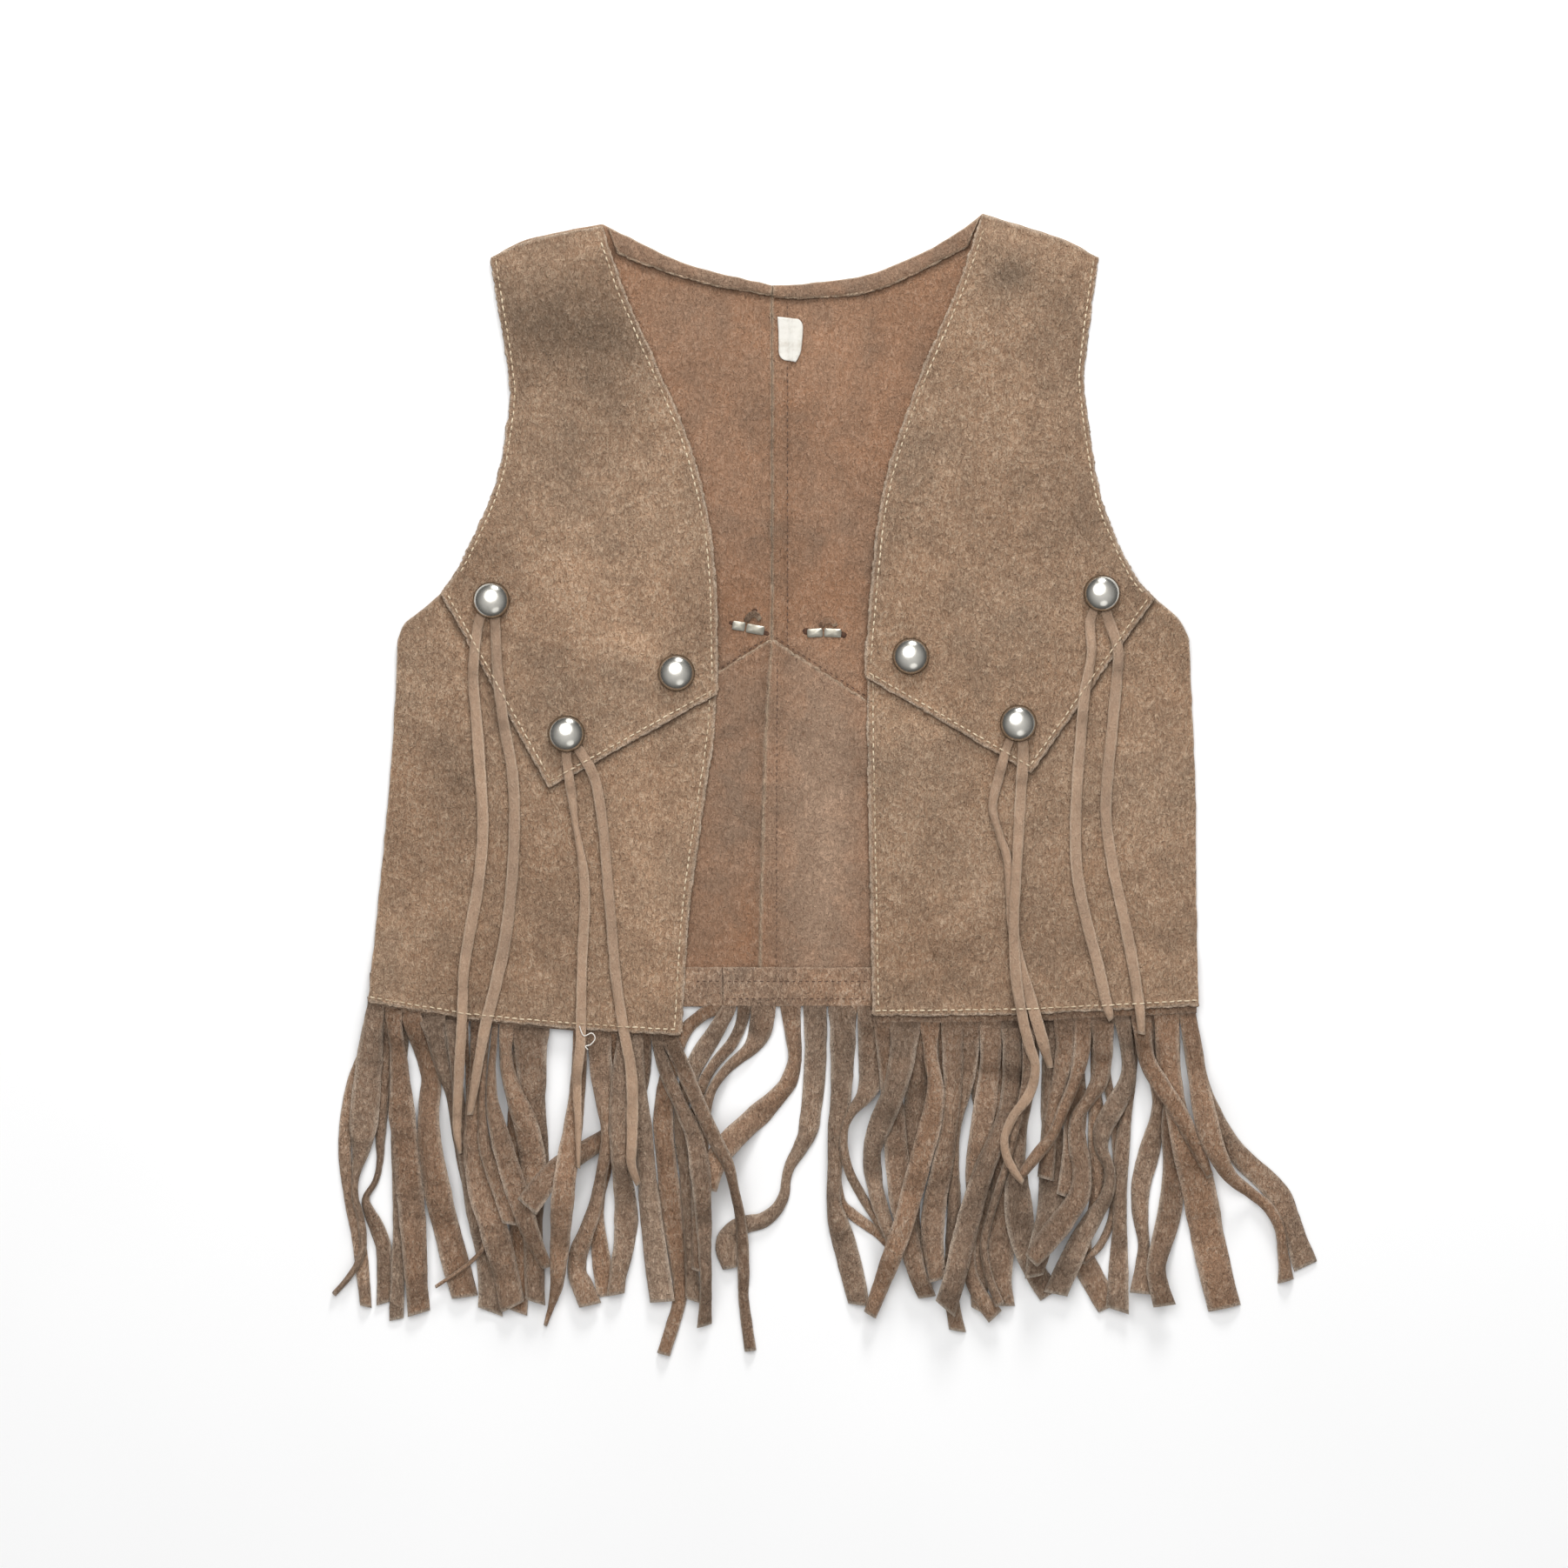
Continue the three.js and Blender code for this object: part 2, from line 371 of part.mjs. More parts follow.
function discPoints(centre, radius) {
  const points = [];
  for (let x = -radius; x <= radius; x += CELL) {
    for (let y = -radius; y <= radius; y += CELL) {
      if (Math.hypot(x, y) <= radius) points.push({ x: centre.x + x, y: centre.y + y });
    }
  }
  return points;
}

// A smooth line through rows of photo x and photo y
const lineThrough = (rows) => new THREE.SplineCurve(rows.map(toPoint));

// Splits a cornered edge into one straight section for each pair of neighbouring corners
const straightSections = (rows) => rows.slice(1).map((row, i) => lineThrough([rows[i], row]));

// Point at a station of an edge made of sections. The whole part of the station names the section.
function pointAtStation(sections, station) {
  const index = Math.min(Math.floor(station), sections.length - 1);
  return sections[index].getPointAt(clamp01(station - index));
}

function distanceToLine(points, x, y) {
  let nearest = Infinity;
  for (let i = 1; i < points.length; i++) {
    const [start, end] = [points[i - 1], points[i]];
    const along = end.clone().sub(start);
    const reach = along.lengthSq() || 1;
    const share = clamp01(((x - start.x) * along.x + (y - start.y) * along.y) / reach);
    nearest = Math.min(nearest, Math.hypot(x - start.x - share * along.x, y - start.y - share * along.y));
  }
  return nearest;
}

const EDGE_SAMPLES = 24;
const samplePoints = (curves) => curves.flatMap((curve) => curve.getSpacedPoints(EDGE_SAMPLES));

// Blends a sheet's points between its four edges
function blendSheet({ top, bottom, outer, inner, columns, rows }) {
  const along = (edge, stations) => {
    const points = stations.map((station) => pointAtStation(edge, station));
    const lengths = points.map((point, i) => (i ? point.distanceTo(points[i - 1]) : 0));
    let total = 0;
    const shares = lengths.map((length) => (total += length));
    return { points, shares: shares.map((share) => share / total) };
  };
  const [high, low] = [along(top, columns), along(bottom, columns)];
  const [first, last] = [along(outer, rows), along(inner, rows)];
  return rows.map((_, j) => columns.map((__, i) => {
    const u = (high.shares[i] + low.shares[i]) / 2;
    const v = (first.shares[j] + last.shares[j]) / 2;
    const across = (axis) => (1 - v) * high.points[i][axis] + v * low.points[i][axis];
    const down = (axis) => (1 - u) * first.points[j][axis] + u * last.points[j][axis];
    const corners = (axis) => (1 - v) * ((1 - u) * high.points[0][axis] + u * high.points.at(-1)[axis])
      + v * ((1 - u) * low.points[0][axis] + u * low.points.at(-1)[axis]);
    return new THREE.Vector2(
      across("x") + down("x") - corners("x"),
      across("y") + down("y") - corners("y"),
    );
  }));
}

// Closed wall over a grid of plan points, between an underside height and a thickness
function wallGeometry(grid, underside, thickness) {
  const [rowCount, columnCount] = [grid.length, grid[0].length];
  const positions = [];
  for (const side of [0, 1]) {
    grid.forEach((row, j) => row.forEach(({ x, y }, i) => {
      const base = underside(x, y);
      positions.push(x, y, side ? base + thickness(x, y, i, j) : base);
    }));
  }
  const vertex = (j, i, side) => side * rowCount * columnCount + j * columnCount + i;
  const index = [];
  const addQuad = (a, b, c, d) => index.push(a, b, c, a, c, d);
  for (let j = 0; j + 1 < rowCount; j++) {
    for (let i = 0; i + 1 < columnCount; i++) {
      addQuad(vertex(j, i, 1), vertex(j + 1, i, 1), vertex(j + 1, i + 1, 1), vertex(j, i + 1, 1));
      addQuad(vertex(j, i, 0), vertex(j, i + 1, 0), vertex(j + 1, i + 1, 0), vertex(j + 1, i, 0));
    }
  }
  for (let i = 0; i + 1 < columnCount; i++) {
    const bottom = rowCount - 1;
    addQuad(vertex(0, i, 0), vertex(0, i, 1), vertex(0, i + 1, 1), vertex(0, i + 1, 0));
    addQuad(vertex(bottom, i + 1, 0), vertex(bottom, i + 1, 1), vertex(bottom, i, 1), vertex(bottom, i, 0));
  }
  for (let j = 0; j + 1 < rowCount; j++) {
    const last = columnCount - 1;
    addQuad(vertex(j + 1, 0, 0), vertex(j + 1, 0, 1), vertex(j, 0, 1), vertex(j, 0, 0));
    addQuad(vertex(j, last, 0), vertex(j, last, 1), vertex(j + 1, last, 1), vertex(j + 1, last, 0));
  }
  const geometry = new THREE.BufferGeometry();
  geometry.setAttribute("position", new THREE.Float32BufferAttribute(positions, 3));
  geometry.setIndex(isMirrored(grid) ? index.reverse() : index);
  return geometry;
}

// Tells whether a grid runs clockwise, so that its faces have to be turned over
function isMirrored(grid) {
  const [corner, right] = [grid[0][0], grid[0].at(-1)];
  const below = grid.at(-1)[0];
  const across = right.clone().sub(corner);
  const down = below.clone().sub(corner);
  return across.x * down.y - across.y * down.x > 0;
}

// Height of the swells at a point
function swellHeight(x, y) {
  let height = 0;
  for (const swell of SWELLS) {
    const turn = THREE.MathUtils.degToRad(swell.turn);
    const [dx, dy] = [x - toX(swell.x), y - toY(swell.y)];
    const along = (dx * Math.cos(turn) + dy * Math.sin(turn)) / swell.long;
    const across = (dy * Math.cos(turn) - dx * Math.sin(turn)) / swell.wide;
    height += swell.high * Math.exp(-along * along - across * across);
  }
  return height;
}

// Undersides of one front's two pieces. The outer edge lies on the back, and the rest is a little
// higher. Near the hem the piece climbs over the fringe strips that are sewn in there.
const STRIP_CLIMB = { start: 1084, end: 1107 };
const HEM_CLIMB = { start: 32, end: 19 };
const LAP_CLIMB = { start: 30, end: 17 };
const BACK_LAP_CLIMB = { start: 54, end: 38 };

function frontUndersides(front, back) {
  const outerRows = [front.shoulder, front.armhole, front.armholeLow, front.side];
  const outerEdge = samplePoints(outerRows.map(lineThrough));
  const hemEdge = samplePoints([lineThrough(front.hem)]);
  const lapEdge = front.point.map(toPoint);
  const backLapEdge = back.lowerEdge.map(toPoint);
  const climb = (distance, { start, end }) => clamp01((start - distance) / (start - end));
  const rise = (x, y) => clamp01(distanceToLine(outerEdge, x, y) / EDGE_ROLL);
  const [climbStart, climbEnd] = [toY(STRIP_CLIMB.start), toY(STRIP_CLIMB.end)];
  const overStrip = (y) => clamp01((climbStart - y) / (climbStart - climbEnd));
  const overBack = (x, y) => Math.max(
    rise(x, y),
    overStrip(y),
    climb(distanceToLine(backLapEdge, x, y), BACK_LAP_CLIMB),
  );
  const lower = (x, y) => {
    const overHem = climb(distanceToLine(hemEdge, x, y), HEM_CLIMB);
    return level(1) + PITCH * (overBack(x, y) + overHem) + rise(x, y) * swellHeight(x, y);
  };
  const yoke = (x, y) => {
    const overLower = Math.max(rise(x, y), climb(distanceToLine(lapEdge, x, y), LAP_CLIMB));
    return level(1) + PITCH * (overBack(x, y) + overLower) + rise(x, y) * swellHeight(x, y);
  };
  return { lower, yoke };
}

// Underside of a back lower half, which laps over the yoke on the inside of the vest
const BACK_LAP = { covers: 2 * LAP + 2, drop: 12 };

function backUnderside(back) {
  const edge = back.lowerEdge.map(toPoint);
  const reach = BACK_LAP.covers + BACK_LAP.drop;
  return (x, y) => level(1) * clamp01((reach - distanceToLine(edge, x, y)) / BACK_LAP.drop);
}

// The right halves carry the centre seam's allowance as a raised strip beside the seam.
// It is bounded by the named column and rows of the sheet's grid.
const raisedStrip = ({ fromColumn, fromRow, toRow }) => (x, y, i, j) => (
  i >= fromColumn && j >= fromRow && j <= toRow ? SUEDE + SEAM_RAISE : SUEDE
);
const plainThickness = () => SUEDE;

// A strand is a four-sided sweep that rests on what was laid before it. Its root keeps the height
// of what it is fused to, along the length that is held.
const STATION = 12;
const STEEPEST = 0.35;
const SIDE_CLEARANCE = 0.3;
const ROOT_PINCH = 0.25;

function layStrand(rows, { rootHeight, held }) {
  const line = new THREE.CatmullRomCurve3(
    rows.map(([x, y, width]) => new THREE.Vector3(toX(x), toY(y), width * MM_PER_PX)),
    false,
    "centripetal",
  );
  const length = line.getLength();
  const count = Math.max(4, Math.round((length - held) / STATION));
  const runs = [0];
  for (let i = 0; i <= count; i++) {
    runs.push(held + ((length - held) * i) / count);
  }
  const stations = runs.map((run) => {
    const share = Math.min(1, run / length);
    const point = line.getPointAt(share);
    const tangent = line.getTangentAt(share);
    const along = new THREE.Vector2(tangent.x, tangent.y).normalize();
    const half = point.z / 2;
    return {
      left: new THREE.Vector2(point.x - along.y * half, point.y + along.x * half),
      right: new THREE.Vector2(point.x + along.y * half, point.y - along.x * half),
      run,
    };
  });
  const bases = stations.map(() => STAND_OFF);
  for (let i = 1; i + 1 < stations.length; i++) {
    const need = segmentNeed(stations[i], stations[i + 1]);
    bases[i] = Math.max(bases[i], need);
    bases[i + 1] = Math.max(bases[i + 1], need);
  }
  bases[0] = rootHeight;
  bases[1] = rootHeight;
  const heights = stations.map(({ run }, i) => (i < 2 ? rootHeight
    : Math.max(...bases.map((base, j) => base - STEEPEST * Math.abs(run - stations[j].run)))));
  for (let i = 0; i + 1 < stations.length; i++) {
    laySegment(stations[i], stations[i + 1], heights[i] + SUEDE, heights[i + 1] + SUEDE);
  }
  return sweepGeometry(stations, heights);
}

// Walks over the plan of one segment of a strand, with a margin beside it
function walkSegment(start, end, margin, visit) {
  const across = Math.max(start.left.distanceTo(start.right), end.left.distanceTo(end.right)) + 2 * margin;
  const reach = start.left.distanceTo(end.left) + start.right.distanceTo(end.right);
  const steps = Math.ceil(reach / CELL) + 1;
  const strips = Math.ceil(across / SAMPLE_STEP);
  for (let j = 0; j <= steps; j++) {
    const left = start.left.clone().lerp(end.left, j / steps);
    const right = start.right.clone().lerp(end.right, j / steps);
    const outward = left.clone().sub(right).normalize().multiplyScalar(margin);
    left.add(outward);
    right.sub(outward);
    for (let k = 0; k <= strips; k++) {
      const point = left.clone().lerp(right, k / strips);
      visit(point.x, point.y, j / steps);
    }
  }
}

function segmentNeed(start, end) {
  let highest = 0;
  walkSegment(start, end, SIDE_CLEARANCE, (x, y) => {
    highest = Math.max(highest, pile[cellAt(x, y)]);
  });
  return highest + GAP;
}

function laySegment(start, end, startTop, endTop) {
  walkSegment(start, end, 0, (x, y, share) => raisePile(x, y, startTop + (endTop - startTop) * share));
}

function sweepGeometry(stations, heights) {
  const positions = [];
  stations.forEach(({ left, right }, i) => {
    const pinch = i === 0 ? ROOT_PINCH : 0;
    const [low, high] = [heights[i] + pinch, heights[i] + SUEDE - pinch];
    positions.push(left.x, left.y, low, right.x, right.y, low, right.x, right.y, high, left.x, left.y, high);
  });
  const index = [];
  const last = 4 * (stations.length - 1);
  for (let i = 0; i < last; i += 4) {
    for (let side = 0; side < 4; side++) {
      const next = (side + 1) % 4;
      index.push(i + side, i + 4 + next, i + next, i + side, i + 4 + side, i + 4 + next);
    }
  }
  index.push(0, 2, 3, 0, 1, 2);
  index.push(last, last + 2, last + 1, last, last + 3, last + 2);
  const geometry = new THREE.BufferGeometry();
  geometry.setAttribute("position", new THREE.Float32BufferAttribute(positions, 3));
  geometry.setIndex(index);
  return geometry;
}

function toManifold(geometry) {
  const bare = new THREE.BufferGeometry();
  bare.setAttribute("position", geometry.attributes.position);
  bare.setIndex(geometry.index);
  const merged = mergeVertices(bare, 1e-4);
  return new wasm.Manifold(new wasm.Mesh({
    numProp: 3,
    vertProperties: Float32Array.from(merged.attributes.position.array),
    triVerts: Uint32Array.from(merged.index.array),
  }));
}

function fuse(geometries) {
  const solid = wasm.Manifold.union(geometries.map(toManifold));
  const mesh = solid.getMesh();
  const geometry = new THREE.BufferGeometry();
  geometry.setAttribute("position", new THREE.Float32BufferAttribute(mesh.vertProperties, 3));
  geometry.setIndex(Array.from(mesh.triVerts));
  return geometry;
}

const vest = new THREE.Group();

function addNode(name, geometry, finish) {
  const mesh = new THREE.Mesh(geometry, new THREE.MeshStandardMaterial(finish));
  mesh.name = name;
  vest.add(mesh);
  return mesh;
}

function addSheet(name, sheet, underside, thickness, finish) {
  const geometry = wallGeometry(blendSheet(sheet), underside, thickness);
  addNode(name, geometry, finish);
  layGeometry(geometry);
}

// Columns and rows of the sheets, as stations along their edges. A corner lies at station 1, and
// close lines lie at rolled edges, laps and raised strips.
const FRONT_YOKE_COLUMNS = [0, 0.13, 0.26, 0.5, 0.75, 1, 1.25, 1.5, 1.75, 2];
const FRONT_YOKE_ROWS = [0, 0.045, 0.09, 0.16, 0.25, 0.34, 0.43, 0.52, 0.61, 0.7, 0.79, 0.88, 0.95, 1];
const FRONT_LOWER_COLUMNS = [0, 0.1, 0.2, 0.46, 0.73, 1, 1.25, 1.5, 1.75, 2];
const FRONT_LOWER_ROWS = [0, 0.33, 0.66, 1, 1.14, 1.28, 1.42, 1.56, 1.7, 1.8, 1.87, 1.925, 2];
const BACK_YOKE = {
  left: {
    columns: [0, 0.33, 0.67, 1, 1.33, 1.67, 2],
    rows: [0, 0.14, 0.28, 0.42, 0.56, 0.7, 0.85, 1],
    thickness: plainThickness,
  },
  right: {
    columns: [0, 0.33, 0.67, 1, 1.33, 1.67, 1.92, 1.93, 2],
    rows: [0, 0.042, 0.05, 0.2, 0.35, 0.5, 0.65, 0.8, 0.9, 0.91, 1],
    thickness: raisedStrip({ fromColumn: 7, fromRow: 2, toRow: 8 }),
  },
};
const BACK_LOWER = {
  left: {
    columns: [0, 0.33, 0.67, 1, 1.33, 1.67, 2],
    rows: [0, 0.22, 0.45, 0.72, 1, 1.25, 1.5, 1.75, 2],
    thickness: plainThickness,
  },
  right: {
    columns: [0, 0.33, 0.67, 1, 1.33, 1.67, 1.93, 1.94, 2],
    rows: [0, 0.22, 0.45, 0.72, 1, 1.28, 1.56, 1.83, 1.84, 2],
    thickness: raisedStrip({ fromColumn: 7, fromRow: 0, toRow: 7 }),
  },
};

const flatOnFloor = () => 0;
const onFirstLevel = () => level(1);
const onSecondLevel = () => level(2);

// Backs
const BACKS = { left: BACK_LEFT, right: BACK_RIGHT };
for (const [side, back] of Object.entries(BACKS)) {
  addSheet(`back_yoke_${side}`, {
    top: [lineThrough(back.shoulder), lineThrough(back.neck)],
    bottom: straightSections(back.yokeEdge),
    outer: [lineThrough(back.armhole)],
    inner: [lineThrough(back.centreHigh)],
    ...BACK_YOKE[side],
  }, flatOnFloor, BACK_YOKE[side].thickness, SUEDE_BACK);
}
for (const [side, back] of Object.entries(BACKS)) {
  addSheet(`back_lower_${side}`, {
    top: straightSections(back.lowerEdge),
    bottom: straightSections(back.hem),
    outer: [lineThrough(back.armholeLow), lineThrough(back.side)],
    inner: [lineThrough(back.centreLow.slice(0, 2)), lineThrough(back.centreLow.slice(1))],
    ...BACK_LOWER[side],
  }, backUnderside(back), BACK_LOWER[side].thickness, SUEDE_BACK);
}
const NECK_HEMS = { left: NECK_HEM_LEFT, right: NECK_HEM_RIGHT };
for (const [side, hem] of Object.entries(NECK_HEMS)) {
  addSheet(`neck_hem_${side}`, {
    top: [lineThrough(hem.top)],
    bottom: [lineThrough(hem.bottom)],
    outer: [lineThrough([hem.top[0], hem.bottom[0]])],
    inner: [lineThrough([hem.top.at(-1), hem.bottom.at(-1)])],
    columns: [0, 0.17, 0.34, 0.5, 0.67, 0.84, 1],
    rows: [0, 0.5, 1],
  }, onFirstLevel, plainThickness, SUEDE_BACK);
}

// Fringe: a strip with the roots of its strands fused into it
const ROOT_DEPTH_PX = 12;
const ROOT_HELD = 8;

function addFringe(name, strip, underside, strands) {
  const stripGeometry = wallGeometry(blendSheet(strip), underside, plainThickness);
  layGeometry(stripGeometry);
  const rootHeight = underside();
  const strandGeometries = strands.map((rows) => {
    const [x, y, width] = rows[0];
    return layStrand([[x, y - ROOT_DEPTH_PX, width], ...rows], { rootHeight, held: ROOT_HELD });
  });
  addNode(name, fuse([stripGeometry, ...strandGeometries]), SUEDE_FRINGE);
}

function backStrip(from, to) {
  const { top, bottom } = BACK_STRIP;
  return {
    top: [lineThrough([[from, top], [to, top]])],
    bottom: [lineThrough([[from, bottom], [to, bottom]])],
    outer: [lineThrough([[from, top], [from, bottom]])],
    inner: [lineThrough([[to, top], [to, bottom]])],
    columns: [0, 0.25, 0.5, 0.75, 1],
    rows: [0, 1],
  };
}

function frontStrip(hem, below) {
  const inset = FRONT_STRIP.inset / MM_PER_PX;
  const [start, end] = [hem[0], hem.at(-1)];
  const inward = Math.sign(end[0] - start[0]);
  const inwardStart = [start[0] + inward * inset, start[1]];
  const inwardEnd = [end[0] - inward * inset, end[1]];
  const trimmed = [inwardStart, ...hem.slice(1, -1), inwardEnd];
  const shifted = (shift) => trimmed.map(([x, y]) => [x, y + shift / MM_PER_PX]);
  const [top, bottom] = [shifted(-FRONT_STRIP.above), shifted(below)];
  return {
    top: [lineThrough(top)],
    bottom: [lineThrough(bottom)],
    outer: [lineThrough([top[0], bottom[0]])],
    inner: [lineThrough([top.at(-1), bottom.at(-1)])],
    columns: [0, 0.17, 0.33, 0.5, 0.67, 0.83, 1],
    rows: [0, 1],
  };
}

const jointHalfGap = GAP / 2 / MM_PER_PX;
addFringe("fringe_back_left", backStrip(BACK_STRIP.left, BACK_STRIP.joint - jointHalfGap),
  onFirstLevel, BACK_STRANDS_LEFT);
addFringe("fringe_back_right", backStrip(BACK_STRIP.joint + jointHalfGap, BACK_STRIP.right),
  onFirstLevel, BACK_STRANDS_RIGHT);
addFringe("fringe_front_left", frontStrip(FRONT_LEFT.hem, FRONT_STRIP.belowLeft),
  onSecondLevel, FRONT_STRANDS_LEFT);
addFringe("fringe_front_right", frontStrip(FRONT_RIGHT.hem, FRONT_STRIP.belowRight),
  onSecondLevel, FRONT_STRANDS_RIGHT);

// Fronts: the yoke laps over the lower piece
const FRONTS = { left: FRONT_LEFT, right: FRONT_RIGHT };
for (const [side, front] of Object.entries(FRONTS)) {
  const undersides = frontUndersides(front, BACKS[side]);
  const [hemStart, hemMiddle] = front.hem;
  addSheet(`front_lower_${side}`, {
    top: straightSections(front.lap),
    bottom: [lineThrough([hemStart, hemMiddle]), lineThrough([hemMiddle, ...front.hem.slice(2)])],
    outer: [lineThrough(front.armholeLow), lineThrough(front.side)],
    inner: [lineThrough(front.innerLow.slice(0, 2)), lineThrough(front.innerLow.slice(1))],
    columns: FRONT_LOWER_COLUMNS,
    rows: FRONT_LOWER_ROWS,
  }, undersides.lower, plainThickness, SUEDE_FRONT);
  addSheet(`front_yoke_${side}`, {
    top: [lineThrough(front.shoulder.slice(0, 2)), lineThrough(front.shoulder.slice(1))],
    bottom: straightSections(front.point),
    outer: [lineThrough(front.armhole)],
    inner: [lineThrough(front.innerHigh)],
    columns: FRONT_YOKE_COLUMNS,
    rows: FRONT_YOKE_ROWS,
  }, undersides.yoke, plainThickness, SUEDE_FRONT);
}

// Studs. A thong pair passes under four of them, and each stud sits on what lies below it.
const STUD_SIDES = 20;
const DOME_STEPS = 5;
const THONG_HELD = 11;

function studGeometry() {
  const profile = [new THREE.Vector2(0, 0), new THREE.Vector2(STUD_RADIUS, 0)];
  for (let i = 0; i < DOME_STEPS; i++) {
    const angle = (i / DOME_STEPS) * (Math.PI / 2);
    const rise = STUD_RIM + (STUD_HEIGHT - STUD_RIM) * Math.sin(angle);
    profile.push(new THREE.Vector2(STUD_RADIUS * Math.cos(angle), rise));
  }
  profile.push(new THREE.Vector2(0, STUD_HEIGHT));
  return new THREE.LatheGeometry(profile, STUD_SIDES);
}

for (const stud of STUDS) {
  const centre = toPoint([stud.x, stud.y]);
  const seat = seatHeight(discPoints(centre, STUD_RADIUS));
  const pair = THONG_PAIRS.find(({ name }) => name === stud.name.replace("stud", "thongs"));
  if (pair) {
    const strands = pair.strands.map((rows) => layStrand(rows, { rootHeight: seat, held: THONG_HELD }));
    addNode(pair.name, fuse(strands), SUEDE_FRINGE);
  }
  const mesh = addNode(stud.name, studGeometry(), STEEL);
  mesh.rotation.x = Math.PI / 2;
  mesh.position.set(centre.x, centre.y, pair ? seat + PITCH : seat);
}

// Small things on the inside of the back
function addPlate(name, outline, thickness, finish) {
  const shape = new THREE.Shape(outline);
  const geometry = new THREE.ExtrudeGeometry(shape, { depth: thickness, bevelEnabled: false });
  const mesh = addNode(name, geometry, finish);
  mesh.position.z = seatHeight(outline.flatMap((point, i) => {
    const next = outline[(i + 1) % outline.length];
    return [0, 0.25, 0.5, 0.75].map((share) => point.clone().lerp(next, share));
  }));
}

addPlate("label", LABEL_OUTLINE.map(toPoint), LABEL_THICKNESS, LABEL_CLOTH);

for (const prong of PRONGS) {
  const tilt = THREE.MathUtils.degToRad(prong.tilt);
  const centre = toPoint([prong.x, prong.y]);
  const [half, side] = [(prong.long / 2) * MM_PER_PX, (prong.wide / 2) * MM_PER_PX];
  const corner = side * PRONG_CORNER;
  const outline = [[-half, -side], [half - corner, -side], [half, corner - side], [half, side - corner],
    [half - corner, side], [-half, side]];
  const turned = outline.map(([x, y]) => {
    const point = new THREE.Vector2(x, y).add(centre);
    return point.rotateAround(centre, tilt);
  });
  addPlate(prong.name, turned, PRONG_THICKNESS, PRONG_METAL);
}
for (const loop of LOOPS) {
  addNode(loop.name, layStrand(loop.path, { rootHeight: level(1), held: 1 }), SUEDE_FRINGE);
}

export default vest;
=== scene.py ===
# Looks of a suede fringe vest that lies open: two fronts on a back, with studs, lace thongs and fringe.
# Shapes are worked out in millimetres in the frame of the CAD part and made in metres.
import math

import bpy
import numpy as np
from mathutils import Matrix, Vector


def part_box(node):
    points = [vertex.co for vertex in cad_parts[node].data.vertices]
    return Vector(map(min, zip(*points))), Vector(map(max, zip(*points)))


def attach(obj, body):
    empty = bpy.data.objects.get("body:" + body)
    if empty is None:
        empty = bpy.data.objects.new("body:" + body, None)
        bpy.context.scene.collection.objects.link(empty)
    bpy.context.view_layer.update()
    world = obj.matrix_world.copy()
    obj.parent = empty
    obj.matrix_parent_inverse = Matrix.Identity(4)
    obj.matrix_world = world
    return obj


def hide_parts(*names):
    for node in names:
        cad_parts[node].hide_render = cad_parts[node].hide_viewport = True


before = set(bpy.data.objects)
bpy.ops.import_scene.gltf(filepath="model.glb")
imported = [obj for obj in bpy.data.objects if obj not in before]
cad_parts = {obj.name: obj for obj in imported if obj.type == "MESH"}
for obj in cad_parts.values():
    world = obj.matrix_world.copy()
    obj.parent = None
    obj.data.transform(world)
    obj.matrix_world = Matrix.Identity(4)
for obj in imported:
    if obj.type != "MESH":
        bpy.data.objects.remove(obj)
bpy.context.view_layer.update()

# Driving sizes in millimetres, as in the CAD part
PIT_TO_PIT = 440
SUEDE = 1.4
GAP = 0.3
PITCH = SUEDE + GAP
EDGE_ROLL = 16
STAND_OFF = 0.3
STUD_RADIUS = 10.3
STUD_HEIGHT = 7
SEAM_RAISE = 0.7

# Photograph frame: pixels between the side seams' tops, and the pixel over the part's origin
PHOTO_PX = 1803
PIT_SPAN_PX = 909
ORIGIN_PX = (948.25, 902.5)
MM_PER_PX = PIT_TO_PIT / PIT_SPAN_PX

# Outlines. Each row is photo x, photo y. Each edge is a list of sections that meet at corners.
FRONT_LEFT = {
    "shoulder": [[565, 296], [594, 282], [632, 271], [692, 261]],
    "armhole": [[565, 296], [572, 340], [586, 430], [586, 475], [570, 560], [530, 650], [508, 682]],
    "armholeLow": [[524, 657], [508, 682], [480, 706], [465, 718], [458, 735]],
    "side": [[458, 735], [450, 880], [436, 1030], [424, 1151]],
    "innerHigh": [[692, 261], [715, 330], [745, 400], [795, 520], [820, 640], [825, 797]],
    "innerLow": [[825, 769], [820, 850], [800, 985], [791, 1060], [783, 1189]],
    "point": [[508, 682], [632, 905], [825, 797]],
    "lap": [[524, 657], [642, 871], [825, 769]],
    "hem": [[424, 1151], [540, 1170], [655, 1181], [783, 1189]],
}
FRONT_RIGHT = {
    "shoulder": [[1262, 296], [1222, 276], [1130, 247]],
    "armhole": [[1262, 296], [1248, 400], [1246, 450], [1262, 560], [1282, 620], [1305, 665], [1326, 688]],
    "armholeLow": [[1309, 669], [1330, 690], [1355, 712], [1367, 735]],
    "side": [[1367, 735], [1374, 900], [1375, 1000], [1377, 1155]],
    "innerHigh": [[1130, 247], [1100, 335], [1050, 455], [1015, 570], [1000, 700], [994, 777]],
    "innerLow": [[998, 750], [998, 850], [1000, 950], [1004, 1167]],
    "point": [[1326, 688], [1185, 888], [994, 777]],
    "lap": [[1309, 669], [1178, 855], [998, 750]],
    "hem": [[1377, 1155], [1300, 1159], [1165, 1165], [1004, 1167]],
}
